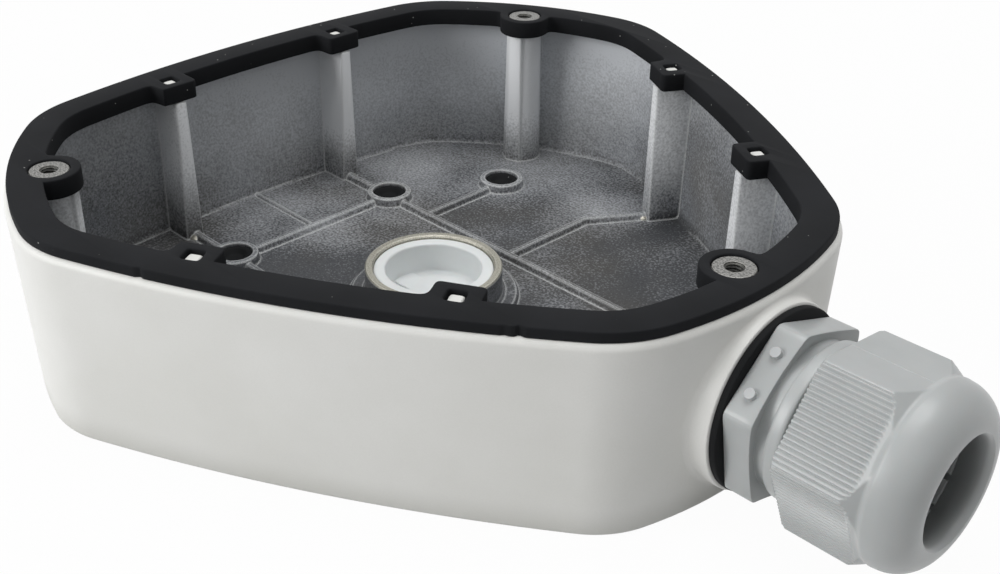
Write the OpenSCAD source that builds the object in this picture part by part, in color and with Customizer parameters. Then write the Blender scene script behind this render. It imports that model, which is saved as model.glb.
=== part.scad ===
// Three-cornered wall and ceiling junction box for a dome camera
// Millimetres. The origin is the centre of the base face, +Z goes up to the open rim,
// and +X points out of the corner that holds the cable gland.

/* [Casting] */
// Height of the casting from the base to the land under the gasket
casting_h = 42.6; // [36:0.1:60]
// Distance from the centre to each rounded corner at the rim
corner_r = 91.55; // [80:0.05:110]
// How much closer to the centre the middle of each side is than a corner
side_in = 15.25; // [12:0.05:18]
// Radius of the long shallow arc of each side at the rim
side_arc_r = 311.7; // [250:0.1:450]
// Radius of the arc that blends a corner into a side at the rim
blend_r = 25.85; // [22:0.05:30]
// How much closer to the centre the corners are at the base
draft_corner = 1.58; // [0.5:0.01:2]
// How much closer to the centre the sides are at the base
draft_side = 2.43; // [0.5:0.01:3]
// Radius of the long shallow arc of each side at the base
base_arc_r = 418.7; // [300:0.1:600]
// Radius of the arc that blends a corner into a side at the base
base_blend_r = 20.7; // [18:0.1:26]
// Rounding of the outer edge of the rim
rim_round = 1.6; // [0.5:0.1:2]
// Rounding of the outer edge of the base
base_round = 0.9; // [0.3:0.1:1.2]
// Wall thickness at the rim
wall_top = 4; // [3:0.1:4.5]
// Wall thickness where it meets the floor
wall_floor = 3; // [2.5:0.1:4]
// Thickness of the floor
floor_t = 3.5; // [2.8:0.1:5]

/* [Screw posts] */
// Distance from the outside of each corner in to its camera screw post
post_in = 9.55; // [9:0.05:12]
// Radius of the machined tip of each post
post_tip_r = 4.25; // [3.8:0.05:4.3]
// How far the post tips stay below the top of the gasket
post_drop = 0.3; // [0:0.1:1]
// Radius of the post columns under the gasket
post_column_r = 4.6; // [4.4:0.1:5]
// How much the columns widen down to the floor
post_draft = 0.5; // [0:0.1:1]
// Bore radius of the tapped camera screw holes
tap_r = 1.65; // [1.2:0.05:2]
// Depth of the tapped camera screw holes
tap_depth = 7; // [5:0.5:8]
// Width of the countersink round the mouth of the tapped holes
countersink = 0.5; // [0.3:0.05:0.9]
// Width of the flow rib on each post column at its top
post_rib_w = 3.8; // [2.5:0.1:4.5]
// How far the flow rib stands out from the post column
post_rib_t = 0.6; // [0.3:0.1:1.5]
// Angle between the flow rib and the line to the centre
post_rib_turn = 14; // [0:1:20]

/* [Pilasters] */
// Distance along a side from its middle to each pilaster
pilaster_off = 25.4; // [22:0.1:28]
// Distance from the outside of the rim to the inner face of the pilasters
pilaster_depth = 14.5; // [12:0.1:18]
// Width of a pilaster at its top
pilaster_w = 3.1; // [2.4:0.1:4]
// Width of a pilaster at the floor
pilaster_foot_w = 5.1; // [4:0.1:6]
// Distance from the outside of the rim in to the gasket pegs
peg_in = 10.3; // [9:0.1:12]
// Radius of the gasket pegs on the pilasters
peg_r = 1.45; // [1:0.05:1.6]
// How far the peg tips stay below the top of the gasket
peg_drop = 0.7; // [0.2:0.1:1.5]

/* [Rim gasket] */
// Thickness of the gasket flange on the rim
flange_t = 2.1; // [1.5:0.1:3]
// How far the flange edge stays inside the widest line of the casting
flange_inset = 0.95; // [0.5:0.05:1.5]
// Width of the flange on the sides
flange_w = 7.4; // [6.5:0.1:8]
// How far the gasket skirt hangs down inside the rim
skirt_drop = 2.3; // [1.5:0.1:3]
// Clearance between the gasket skirt and the wall
skirt_gap = 0.15; // [0.1:0.05:0.4]
// Wall of the gasket ears round the posts
ear_wall = 2.15; // [1.5:0.05:3]
// Clearance between a post tip and its hole in the gasket
ear_gap = 0.2; // [0.1:0.05:0.5]
// Width of a gasket tab along the side
tab_w = 9.8; // [8:0.1:11]
// Clearance round a peg in the square hole of its tab
tab_hole_gap = 0.5; // [0.2:0.05:1]
// Corner rounding of the peg holes
tab_hole_round = 0.8; // [0.2:0.1:1.4]
// Corner rounding of the tabs
tab_round = 1.2; // [0.5:0.1:2]

/* [Floor bosses and ribs] */
// Distance from the centre to the row of two bosses along X
boss_x = 45.15; // [40:0.25:50]
// Distance from the centre to the row of two bosses along Y
boss_y = 25; // [22:0.5:30]
// Radius of the circle of the three round-pattern bosses
boss_circle_r = 60.7; // [58:0.5:62]
// Wall of a boss
boss_wall = 1.35; // [1:0.05:2]
// Height of a boss above the floor
boss_h = 2.3; // [1.5:0.1:4]
// Bore radius of a boss
boss_bore_r = 4.45; // [3:0.05:4.6]
// Width of the ledge under a plug head in the base
boss_ledge = 1.55; // [0.8:0.05:2]
// Depth of the recess for a plug head in the base
boss_recess_t = 1.4; // [0.8:0.1:2]
// Width of a floor rib at its foot
rib_w = 3; // [2:0.1:4]
// Height of a floor rib
rib_h = 1.5; // [0.8:0.1:2]
// Distance from the Y axis to the rib that crosses near the rear boss
cross_rib_x = 30; // [27:0.5:34]

/* [Base entry] */
// Radius of the thread in the base entry
entry_r = 14.15; // [12:0.05:14.5]
// Wall of the collar round the base entry
collar_wall = 1.95; // [1.5:0.05:3]
// Height of the collar above the floor
collar_h = 7.7; // [5:0.1:10]
// Width of the raised disc round the collar
entry_disc_w = 3.8; // [2:0.1:5]
// Height of the raised disc above the floor
entry_disc_h = 1; // [0.5:0.1:2]
// Width of the ledge for the plug seal round the base entry
entry_ledge = 3.15; // [2.5:0.05:4]
// Depth of the recess for the plug head
entry_recess_t = 2.7; // [2.4:0.1:3]

/* [Base plug] */
// Clearance round the head of the base plug
plug_head_gap = 0.6; // [0.2:0.1:1]
// Thickness of the head of the base plug
plug_head_t = 2; // [1.6:0.1:2.2]
// How far the rim of the hollow plug stays below the top of the collar
plug_drop = 0.7; // [0:0.1:3]
// Wall of the hollow plug
plug_wall = 2.77; // [1.5:0.01:4]
// Chamfer on both edges of the plug's rim
plug_edge = 0.4; // [0.1:0.1:1]
// Thickness of the floor of the plug
plug_floor_t = 2.9; // [2.5:0.1:4]
// Width of the raised bar across the floor of the plug
plug_bar_w = 6; // [4:0.5:8]
// Height of the raised bar across the floor of the plug
plug_bar_h = 0.5; // [0.3:0.1:1.5]
// Width of the driver slot in the plug head
plug_slot_w = 2.6; // [2:0.1:3.5]
// Depth of the driver slot in the plug head
plug_slot_t = 1.6; // [1:0.1:1.8]
// Clearance of the threads of the plug and the gland in the casting
thread_gap = 0.08; // [0.03:0.01:0.15]
// Clearance above and below the flat seal of the plug
plug_seal_gap = 0.06; // [0:0.01:0.1]
// Width of the flat seal of the plug
plug_seal_w = 2; // [1.2:0.1:2.2]

/* [Mount plugs] */
// Clearance between a mount plug and its bore
mount_plug_gap = 0.1; // [0.05:0.01:0.3]
// How far the tip of a mount plug stays below the top of its boss
mount_plug_drop = 0.6; // [0.2:0.1:1.5]
// How far the head of a mount plug stays inside the base face
mount_head_drop = 0.3; // [0.2:0.05:0.6]
// Chamfer on the tip of a mount plug
mount_edge = 0.5; // [0.2:0.1:1]
// Radius of the dimple in the tip of a mount plug
mount_dimple_r = 3; // [2:0.1:3.6]
// Depth of the dimple in the tip of a mount plug
mount_dimple_t = 1; // [0.5:0.1:2]

/* [Gland seat] */
// How far the gland axis lies below the middle of the casting's height
gland_drop = 0.2; // [0:0.1:2]
// How far the face of the gland pad stands out from the corner
pad_out = 1.85; // [1.5:0.05:6]
// Space left above and below the gland pad, measured from mid height
pad_margin = 2; // [1:0.1:4]
// Size of the flare where the pad meets the wall
pad_flare = 2.3; // [1:0.1:2.6]
// Thickness of the washer behind the gland
washer_t = 1.5; // [1:0.1:2.5]
// How far the washer stands out past the flats of the gland body
washer_out = 2.3; // [1:0.1:3]

/* [Cable gland] */
// Length of the hexagon of the gland body
hex_t = 6.3; // [5:0.1:9]
// Width across flats of the gland body
hex_af = 33; // [31:0.5:35]
// Turn of the hexagon of the gland body
hex_turn = 11.2; // [0:0.1:60]
// How far the corners of both hexagons are cut round
hex_clip = 0.35; // [0.1:0.05:0.8]
// Distance from the body's hexagon to the nut at rest
neck_t = 5.4; // [3:0.1:7]
// How far the neck ring stands out from the nut thread
neck_lip = 1.8; // [1:0.1:3]
// Rounding of the front edge of the neck ring
neck_round = 1.2; // [0.4:0.1:2]
// How much narrower the neck ring is at the hexagon
neck_groove = 0.3; // [0:0.05:0.6]
// Gap between the neck ring and the nut at rest
neck_gap = 0.3; // [0.1:0.05:1]
// Length of the thread inside the casting
tail_t = 10; // [7:0.5:12]
// Radius of the thread that the nut turns on
nut_thread_r = 14; // [13.4:0.05:14.2]
// Clearance between the nut and its thread
nut_gap = 0.08; // [0.03:0.01:0.15]
// Lead of the nut thread for one turn
nut_pitch = 1.5; // [1:0.1:2]
// Wall from the seat of the seal to the outside of the nut thread
finger_wall = 2; // [1.4:0.1:3]
// How far the seat of the seal starts behind the nut
seat_in = 2; // [0.5:0.1:4]
// Step from the seat of the seal in to the cable way behind it
way_step = 1.6; // [1:0.1:2.5]
// Number of clamping fingers
finger_n = 12; // [6:1:14]
// Width of the slits between the fingers
slit_w = 1.1; // [0.6:0.1:1.4]
// Length of the fingers
finger_t = 10; // [7:0.5:11]
// How far the fingers stay clear of the bore and the cone of the nut
finger_gap = 0.4; // [0.3:0.05:0.6]
// Distance from the tips of the fingers to the cable opening of the nut
finger_drop = 4.2; // [3.8:0.1:5]
// Length of the bevel on the tips of the fingers
finger_bevel = 2; // [1:0.1:3]

/* [Gland seal] */
// Wall of the seal
seal_wall = 2.9; // [2:0.1:4.5]
// Clearance between the seal and its seat
seal_gap = 0.1; // [0.05:0.01:0.3]
// How far the seal stays inside the finger tips
seal_drop = 2.2; // [1.5:0.1:4]

/* [Gland nut] */
// Length of the ridged hexagon of the nut
nut_t = 15.2; // [12:0.1:18]
// Width across flats of the nut
nut_af = 34.9; // [33.5:0.1:36]
// Turn of the hexagon of the nut
nut_turn = 23.1; // [0:0.1:60]
// How far the corners of the nut are cut round
nut_clip = 0.25; // [0.1:0.05:0.8]
// Chamfer on the corners at the back edge of the nut
nut_edge = 0.6; // [0.2:0.1:1]
// Length of the corner bevel before the end of the flats
bevel_back = 1; // [0.5:0.1:3]
// Length of the corner bevel past the end of the flats
bevel_front = 1.6; // [1:0.1:3]
// Pitch of the fine grip ridges on the flats
ridge_pitch = 1; // [0.9:0.05:1.6]
// Depth of the grip ridges
ridge_t = 0.35; // [0.2:0.05:0.5]
// Length of the domed end of the nut
dome_t = 9.8; // [8:0.1:11]
// How far the foot of the dome stands out past the flats
dome_over = 0.75; // [0.3:0.05:1.5]
// Distance from the end of the flats to the foot of the dome
dome_rise = 1.2; // [0.5:0.1:2]
// Width of the flat ring round the cable opening
mouth_lip = 1; // [0.4:0.1:2]
// Radius of the cable opening in the dome
mouth_r = 10.5; // [9.8:0.1:11.5]
// Length of the cable opening before the inner cone
mouth_t = 2.6; // [1.5:0.1:3]
// Length of the inner cone that presses the fingers together
cone_t = 5.6; // [5:0.1:7]

/* [Hidden] */
$fn = 96;
EPS = 0.01;
// Depth by which joined shapes of one piece run into each other
sink = 0.6;
// Length by which a cutting shape runs past what it cuts
over = 1;
THIRD = 120;
half_third = THIRD / 2;
QUARTER = [0:15:90];
ROUND_STEPS = [0:30:90];
flare_turn = 30;
// Clearance between the pilasters and the skirt of the gasket
seat_gap = 0.1;

// Outlines are [corner radius, side distance, side arc radius, blend radius]
side_dist = corner_r - side_in;
RIM = [corner_r, side_dist, side_arc_r, blend_r];
BASE = [corner_r - draft_corner, side_dist - draft_side, base_arc_r, base_blend_r];
gasket_top = casting_h + flange_t;
gasket_foot = casting_h - skirt_drop;
pilaster_top = gasket_foot - seat_gap;
post_top = gasket_top - post_drop;
peg_top = gasket_top - peg_drop;
post_circle_r = corner_r - post_in;
post_rib_out = post_column_r + post_rib_t;
countersink_r = tap_r + countersink;
pilaster_in = side_dist - pilaster_depth;
peg_dist = side_dist - peg_in;
ear_r = post_tip_r + ear_gap + ear_wall;
tab_hole_w = 2 * (peg_r + tab_hole_gap);
boss_r = boss_bore_r + boss_wall;
boss_recess_r = boss_bore_r + boss_ledge;
boss_top = floor_t + boss_h;
collar_r = entry_r + collar_wall;
collar_top = floor_t + collar_h;
entry_disc_r = collar_r + entry_disc_w;
entry_recess_r = entry_r + entry_ledge;
plug_head_r = entry_recess_r - plug_head_gap;
plug_r = entry_r - thread_gap;
plug_hollow_r = plug_r - plug_wall;
plug_top = collar_top - plug_drop;
// Points on the corner arc, the blend arc and the side arc of half a corner
outline_steps = [4, 8, 5];

// Gland sizes across its axis
gland_z = casting_h / 2 - gland_drop;
pad_r = casting_h / 2 - pad_margin;
washer_r = hex_af / 2 + washer_out;
neck_r = nut_thread_r + neck_lip;
seal_seat_r = nut_thread_r - finger_wall;
way_r = seal_seat_r - way_step;
seal_r = seal_seat_r - seal_gap - seal_wall;
nut_corner_r = nut_af / sqrt(3) - nut_clip;
dome_r = nut_af / 2 + dome_over;

// Gland stations along X, from the pad outwards
pad_x = corner_r + pad_out;
hex_x = pad_x + washer_t;
neck_x = hex_x + hex_t;
nut_x = neck_x + neck_t;
dome_x = nut_x + nut_t;
nut_end = dome_x + dome_t;
cone_x = nut_end - mouth_t;
tail_x = pad_x - tail_t;
seat_start = nut_x - seat_in;
finger_tip = cone_x - finger_drop;
finger_root = finger_tip - finger_t;
cone_start = cone_x - cone_t;
nut_bore_r = nut_thread_r + nut_gap;
finger_r = nut_bore_r - finger_gap;
tip_r = mouth_r + (nut_bore_r - mouth_r) * finger_drop / cone_t - finger_gap;

// Boss places: a rectangle of four, then three on a circle
BOSSES = concat([for (sx = [-1, 1], sy = [-1, 1]) [sx * boss_x, sy * boss_y]],
                [for (k = [0:2]) boss_circle_r * [cos(THIRD * k), sin(THIRD * k)]]);

function inset(o, d) = [o[0] - d, o[1] - d, o[2] - d, o[3] - d];
function polar(r, a) = r * [cos(a), sin(a)];
function angle_of(v) = atan2(v[1], v[0]);

// Centre of the long arc of the side whose middle lies at 60 degrees
function side_centre(o) = polar(o[1] - o[2], half_third);

// Centre of the blend arc, tangent inside to the corner arc and to the side arc
function blend_centre(o) =
    let (c = side_centre(o), a = o[0] - o[3], b = o[2] - o[3], d = norm(c),
         x = (a * a - b * b + d * d) / (2 * d), u = c / d, h = sqrt(a * a - x * x),
         n = [u[1], -u[0]], p = x * u + h * n, q = x * u - h * n)
    angle_of(p) > 0 && angle_of(p) < half_third ? p : q;

// Half of one corner, from its middle at 0 degrees to the middle of the side
function half_outline(o) =
    let (f = blend_centre(o), c = side_centre(o),
         t1 = angle_of(f), t2 = angle_of(f - c),
         n = outline_steps)
    concat([for (i = [0:n[0] - 1]) polar(o[0], t1 * i / n[0])],
           [for (i = [0:n[1] - 1]) f + polar(o[3], t1 + (t2 - t1) * i / n[1])],
           [for (i = [0:n[2] - 1]) c + polar(o[2], t2 + (half_third - t2) * i / n[2])]);

function mirrored(p) = [for (i = [len(p) - 1:-1:1]) [p[i][0], -p[i][1]]];
function turned(p, a) = [for (v = p) [v[0] * cos(a) - v[1] * sin(a),
                                      v[0] * sin(a) + v[1] * cos(a)]];

// Whole outline: each corner is a mirrored half, the half, and the middle of its side
function outline(o) =
    let (h = half_outline(o), m = polar(o[1], half_third),
         corner = concat(mirrored(h), h, [m]))
    [for (k = [0:2]) each turned(corner, THIRD * k)];

module slab(o, z, t = EPS) {
    translate([0, 0, z]) linear_extrude(t) polygon(outline(o));
}

// Repeats its children at each side, turned so that +X points out of the side
module at_sides() {
    for (k = [0:2]) rotate(half_third + THIRD * k) children();
}

module at_corners() {
    for (k = [0:2]) rotate(THIRD * k) children();
}

module along_x(x) {
    translate([x, 0, gland_z]) rotate([0, 90, 0]) children();
}

// Plain cylinder on the gland axis between two stations
module gland_rod(x1, x2, r) {
    along_x(x1) cylinder(r = r, h = x2 - x1);
}

// Outside of the casting, with drafted sides and rounded edges
module shell_outside() {
    hull() for (a = ROUND_STEPS) {
        slab(inset(BASE, base_round * (1 - cos(a))), base_round * (1 - sin(a)));
        slab(inset(RIM, rim_round * (1 - cos(a))), casting_h - rim_round * (1 - sin(a)) - EPS);
    }
}

module shell_inside() {
    hull() {
        slab(inset(BASE, wall_floor), floor_t);
        slab(inset(RIM, wall_top), casting_h);
    }
}

// Patch of the corner wall under a round bar, at one step of a concave flare:
// step 0 lies on the wall and step 90 on the side of the pad
module flare_step(a) {
    grow = pad_flare * (1 - cos(a));
    wall_h = casting_h - rim_round - base_round;
    intersection() {
        gland_rod(post_circle_r, pad_x, pad_r + pad_flare * (1 - sin(a)));
        translate([0, 0, base_round])
            cylinder(r1 = BASE[0] + grow, r2 = RIM[0] + grow, h = wall_h);
    }
}

// Round pad for the gland with a concave flare on the curved wall
module gland_pad() {
    gland_rod(post_circle_r, pad_x, pad_r);
    for (a = [0:flare_turn:90 - flare_turn]) hull() {
        flare_step(a, $fn = 64);
        flare_step(a + flare_turn, $fn = 64);
    }
}

// Upright bar that tapers from its foot to its top, seen from the inside as a strip
module strip(x1, x2, w_top, w_foot, foot, top) {
    translate([x1, 0, 0]) rotate([90, 0, 90]) linear_extrude(x2 - x1)
        polygon([[-w_foot / 2, foot], [w_foot / 2, foot], [w_top / 2, top], [-w_top / 2, top]]);
}

module pilasters() {
    at_sides() for (s = [-1, 1]) translate([0, s * pilaster_off, 0]) {
        strip(pilaster_in, side_dist - wall_top, pilaster_w, pilaster_foot_w,
              floor_t - sink, pilaster_top);
        translate([peg_dist, 0, pilaster_top - sink])
            cylinder(r = peg_r, h = peg_top - pilaster_top + sink, $fn = 32);
    }
}

// Camera screw posts. The one over the cable entry hangs on the wall above it.
module posts() {
    for (k = [0:2]) rotate(THIRD * k) translate([post_circle_r, 0, 0]) {
        foot = k == 0 ? gland_z : floor_t - sink;
        spread = post_draft * (pilaster_top - foot) / (pilaster_top - floor_t);
        translate([0, 0, foot])
            cylinder(r1 = post_column_r + spread, r2 = post_column_r, h = pilaster_top - foot);
        translate([0, 0, pilaster_top - sink])
            cylinder(r = post_tip_r, h = post_top - pilaster_top + sink);
        rotate(180 - post_rib_turn)
            strip(0, post_rib_out, post_rib_w, post_rib_w + 2 * spread, foot, pilaster_top);
        strip(0, post_in - wall_top + sink, 2 * post_rib_w, 2 * post_rib_w, foot, pilaster_top);
    }
}

module tapped_holes() {
    at_corners() translate([post_circle_r, 0, 0]) {
        translate([0, 0, post_top - tap_depth]) cylinder(r = tap_r, h = tap_depth + over, $fn = 48);
        translate([0, 0, post_top - countersink])
            cylinder(r1 = tap_r, r2 = countersink_r + EPS, h = countersink + EPS, $fn = 48);
    }
}

// Sloped floor rib between two points
module floor_rib(a, b, w = rib_w, h = rib_h) {
    v = b - a;
    translate([a[0], a[1], 0]) rotate(angle_of(v)) rotate([90, 0, 90]) linear_extrude(norm(v))
        polygon([[-w / 2, floor_t - sink], [-w / 2, floor_t], [-w / 4, floor_t + h],
                 [w / 4, floor_t + h], [w / 2, floor_t], [w / 2, floor_t - sink]]);
}

module floor_ribs() {
    rear = polar(boss_circle_r, THIRD);
    foot = turned([[pilaster_in, pilaster_off]], half_third)[0];
    for (s = [-1, 1]) {
        floor_rib([-pilaster_in, s * boss_y], [boss_x, s * boss_y]);
        floor_rib([-cross_rib_x, s * boss_y], [-cross_rib_x, s * rear[1]]);
        floor_rib([0, s * boss_y], [0, s * rear[1]]);
        floor_rib([0, s * rear[1]], [foot[0], s * foot[1]]);
    }
    floor_rib([-boss_x, -boss_y], [-boss_x, boss_y]);
    floor_rib([-side_dist + wall_top, 0], [-boss_x, 0], rib_w / 2, rib_h / 2);
}

module bosses() {
    for (p = BOSSES) translate([p[0], p[1], floor_t - sink])
        cylinder(r = boss_r, h = boss_h + sink);
}

module boss_bores() {
    for (p = BOSSES) translate([p[0], p[1], -over]) {
        cylinder(r = boss_bore_r, h = boss_top + 2 * over);
        cylinder(r = boss_recess_r, h = boss_recess_t + over);
    }
}

module base_entry() {
    translate([0, 0, floor_t - sink]) cylinder(r = entry_disc_r, h = entry_disc_h + sink);
    translate([0, 0, floor_t - sink]) cylinder(r = collar_r, h = collar_h + sink);
}

module base_entry_bore() {
    translate([0, 0, -over]) {
        cylinder(r = entry_r, h = collar_top + 2 * over);
        cylinder(r = entry_recess_r, h = entry_recess_t + over);
    }
}

// One casting: drafted shell, gland pad, posts, pilasters, bosses and ribs
module box_casting() {
    color("#dcdcd8") difference() {
        union() {
            difference() {
                union() {
                    shell_outside();
                    gland_pad();
                }
                shell_inside();
            }
            pilasters();
            posts();
            floor_ribs();
            bosses();
            base_entry();
        }
        boss_bores();
        base_entry_bore();
        tapped_holes();
        gland_rod(post_circle_r - 2 * post_column_r, pad_x + over, entry_r);
    }
}

// Rounded rectangle from [x1, -w/2] to [x2, w/2]
function rounded_bar(x1, x2, w, r) =
    let (xs = [x2 - r, x1 + r, x1 + r, x2 - r], ys = [1, 1, -1, -1])
    [for (i = [0:3], a = QUARTER) [xs[i], ys[i] * (w / 2 - r)] + polar(r, 90 * i + a)];

module tab(z, t) {
    at_sides() for (s = [-1, 1]) translate([0, s * pilaster_off, z])
        linear_extrude(t) polygon(rounded_bar(pilaster_in, side_dist, tab_w, tab_round));
}

module tab_holes(z, t) {
    half = tab_hole_w / 2;
    hole = rounded_bar(peg_dist - half, peg_dist + half, tab_hole_w, tab_hole_round);
    at_sides() for (s = [-1, 1]) translate([0, s * pilaster_off, z])
        linear_extrude(t) polygon(hole);
}

// Moulded seal: flange on the rim, skirt inside it, ears round the posts, six pegged tabs
module rim_gasket() {
    flange = inset(RIM, flange_inset);
    opening = inset(flange, flange_w);
    tall = gasket_top - gasket_foot;
    color("#26272a") difference() {
        union() {
            slab(flange, casting_h, flange_t);
            slab(inset(RIM, wall_top + skirt_gap), gasket_foot, tall - flange_t / 2);
        }
        difference() {
            slab(opening, gasket_foot - over, tall + 2 * over);
            tab(gasket_foot - 2 * over, tall + 4 * over);
            at_corners() translate([post_circle_r, 0, gasket_foot - 2 * over])
                cylinder(r = ear_r, h = tall + 4 * over);
        }
        at_corners() translate([post_circle_r, 0, gasket_foot - over])
            cylinder(r = post_tip_r + ear_gap, h = tall + 2 * over);
        tab_holes(gasket_foot - over, tall + 2 * over);
    }
}

// Bar across a circle of radius r, a little longer than the circle is wide
module cross_bar(r, w, z1, z2) {
    translate([-r - over, -w / 2, z1]) cube([2 * (r + over), w, z2 - z1]);
}

// Hollow screw plug, its head in the recess of the base
module base_plug() {
    color("#eef0ee") difference() {
        union() {
            cylinder(r = plug_head_r, h = plug_head_t);
            rotate_extrude() polygon([
                [0, plug_head_t - sink], [plug_r, plug_head_t - sink],
                [plug_r, plug_top - plug_edge], [plug_r - plug_edge, plug_top], [0, plug_top]]);
        }
        difference() {
            translate([0, 0, plug_floor_t]) cylinder(r = plug_hollow_r, h = plug_top);
            cross_bar(plug_hollow_r, plug_bar_w, 0, plug_floor_t + plug_bar_h);
        }
        translate([0, 0, plug_top - plug_edge])
            cylinder(r1 = plug_hollow_r, r2 = plug_hollow_r + plug_edge + EPS, h = plug_edge + EPS);
        cross_bar(plug_head_r, plug_slot_w, -over, plug_slot_t);
    }
}

// Flat seal between the plug head and the bottom of its recess
module base_plug_seal() {
    z1 = plug_head_t + plug_seal_gap;
    z2 = entry_recess_t - plug_seal_gap;
    color("#202124") difference() {
        translate([0, 0, z1]) cylinder(r = entry_r + thread_gap + plug_seal_w, h = z2 - z1);
        translate([0, 0, z1 - over]) cylinder(r = entry_r + thread_gap, h = z2 - z1 + 2 * over);
    }
}

// Rubber plug of one floor boss: a head in the base and a stem with a dimpled tip
module mount_plug(p) {
    tip = boss_top - mount_plug_drop;
    stem_r = boss_bore_r - mount_plug_gap;
    head_r = boss_recess_r - mount_plug_gap;
    head_top = boss_recess_t - mount_plug_gap;
    color("#1b1c1e") translate([p[0], p[1], 0]) rotate_extrude() polygon([
        [0, mount_head_drop], [head_r, mount_head_drop], [head_r, head_top], [stem_r, head_top],
        [stem_r, tip - mount_edge], [stem_r - mount_edge, tip], [mount_dimple_r, tip],
        [mount_dimple_r - mount_dimple_t, tip - mount_dimple_t], [0, tip - mount_dimple_t]]);
}

module gland_washer() {
    color("#1e1f21") difference() {
        gland_rod(pad_x, hex_x, washer_r);
        gland_rod(pad_x - over, hex_x + over, entry_r + thread_gap);
    }
}

// Hexagon prism on the gland axis, its corners cut by a round bar
module hex_bar(x1, x2, af, turn, corner_cut) {
    intersection() {
        along_x(x1) rotate(turn) cylinder(r = af / sqrt(3), h = x2 - x1, $fn = 6);
        gland_rod(x1, x2, corner_cut);
    }
}

module slits(x1, x2) {
    for (k = [0:finger_n - 1]) along_x(x1) rotate(360 / finger_n * k)
        translate([seal_seat_r - over, -slit_w / 2, 0]) cube([nut_thread_r, slit_w, x2 - x1]);
}

// Gland body: tail thread, hexagon, neck ring, nut thread and the ring of clamping fingers
module gland_body() {
    ring_t = neck_t - neck_gap;
    color("#c3c5c3") difference() {
        union() {
            gland_rod(tail_x, hex_x + sink, entry_r - thread_gap);
            hex_bar(hex_x, neck_x, hex_af, hex_turn, hex_af / sqrt(3) - hex_clip);
            along_x(neck_x) rotate_extrude() polygon([
                [0, -sink], [neck_r - neck_groove, -sink], [neck_r - neck_groove, 0],
                for (a = QUARTER) [neck_r - neck_round * (1 - cos(a)), ring_t - neck_round * (1 - sin(a))],
                [0, ring_t]]);
            gland_rod(neck_x, finger_root, nut_thread_r);
            along_x(finger_root) rotate_extrude() polygon([
                [0, -sink], [finger_r, -sink], [finger_r, finger_t - finger_bevel],
                [tip_r, finger_t], [0, finger_t]]);
        }
        gland_rod(tail_x - over, finger_tip + over, way_r);
        gland_rod(seat_start, finger_tip + over, seal_seat_r);
        slits(finger_root, finger_tip + over);
    }
}

// Rubber ring that the fingers press on the cable
module gland_seal() {
    color("#232426") difference() {
        gland_rod(seat_start + seal_gap, finger_tip - seal_drop, seal_seat_r - seal_gap);
        gland_rod(seat_start - over, finger_tip, seal_r);
    }
}

// Outline of a hexagon whose flats carry n grooves of depth t, ridge and groove in turn
function ridged_hex(af, n, t) =
    let (flat = af / sqrt(3), step = flat / n)
    [for (k = [0:5], i = [0:2 * n - 1])
        let (v = (step * (i + 1 / 2) - flat) / 2, d = i % 2 == 0 ? t : 0)
        polar(af / 2 - d, 60 * k) + polar(v, 60 * k + 90)];

// Dome nut: ridged hexagon, chamfer and dome with a round cable opening
module gland_nut() {
    ridges = floor(nut_af / sqrt(3) / ridge_pitch);
    core_r = nut_af / 2 - ridge_t;
    top_r = mouth_r + mouth_lip;
    color("#c3c5c3") difference() {
        union() {
            intersection() {
                along_x(nut_x) rotate(nut_turn) linear_extrude(nut_t + bevel_front + over)
                    polygon(ridged_hex(nut_af, ridges, ridge_t));
                along_x(nut_x) rotate_extrude() polygon([
                    [0, 0], [nut_corner_r - nut_edge, 0], [nut_corner_r, nut_edge],
                    [nut_corner_r, nut_t - bevel_back], [dome_r, nut_t + bevel_front],
                    [0, nut_t + bevel_front]]);
            }
            along_x(dome_x) rotate_extrude() polygon([
                [0, -over], [core_r, -over], [core_r, 0],
                for (a = QUARTER) [top_r + (dome_r - top_r) * cos(a),
                                   dome_rise + (dome_t - dome_rise) * sin(a)],
                [0, dome_t]]);
        }
        gland_rod(nut_x - over, cone_start, nut_bore_r);
        along_x(cone_start - EPS)
            cylinder(r1 = nut_bore_r, r2 = mouth_r, h = cone_x - cone_start + EPS);
        gland_rod(cone_x - over, nut_end + over, mouth_r);
    }
}

box_casting();
rim_gasket();
base_plug();
base_plug_seal();
mount_plug(BOSSES[0]);  // mount_plug_1
mount_plug(BOSSES[1]);  // mount_plug_2
mount_plug(BOSSES[2]);  // mount_plug_3
mount_plug(BOSSES[3]);  // mount_plug_4
mount_plug(BOSSES[4]);  // mount_plug_5
mount_plug(BOSSES[5]);  // mount_plug_6
mount_plug(BOSSES[6]);  // mount_plug_7
gland_washer();
gland_body();
gland_seal();
gland_nut();
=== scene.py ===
# Looks of the camera junction box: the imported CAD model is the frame, and finer meshes with
# procedural finishes stand for its nodes. Sizes in the code are millimetres; a mesh is turned
# to metres when it is made. The origin is the centre of the base, +Z up, +X out of the gland.
import math
import bpy
import bmesh
from mathutils import Matrix, Vector


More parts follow.
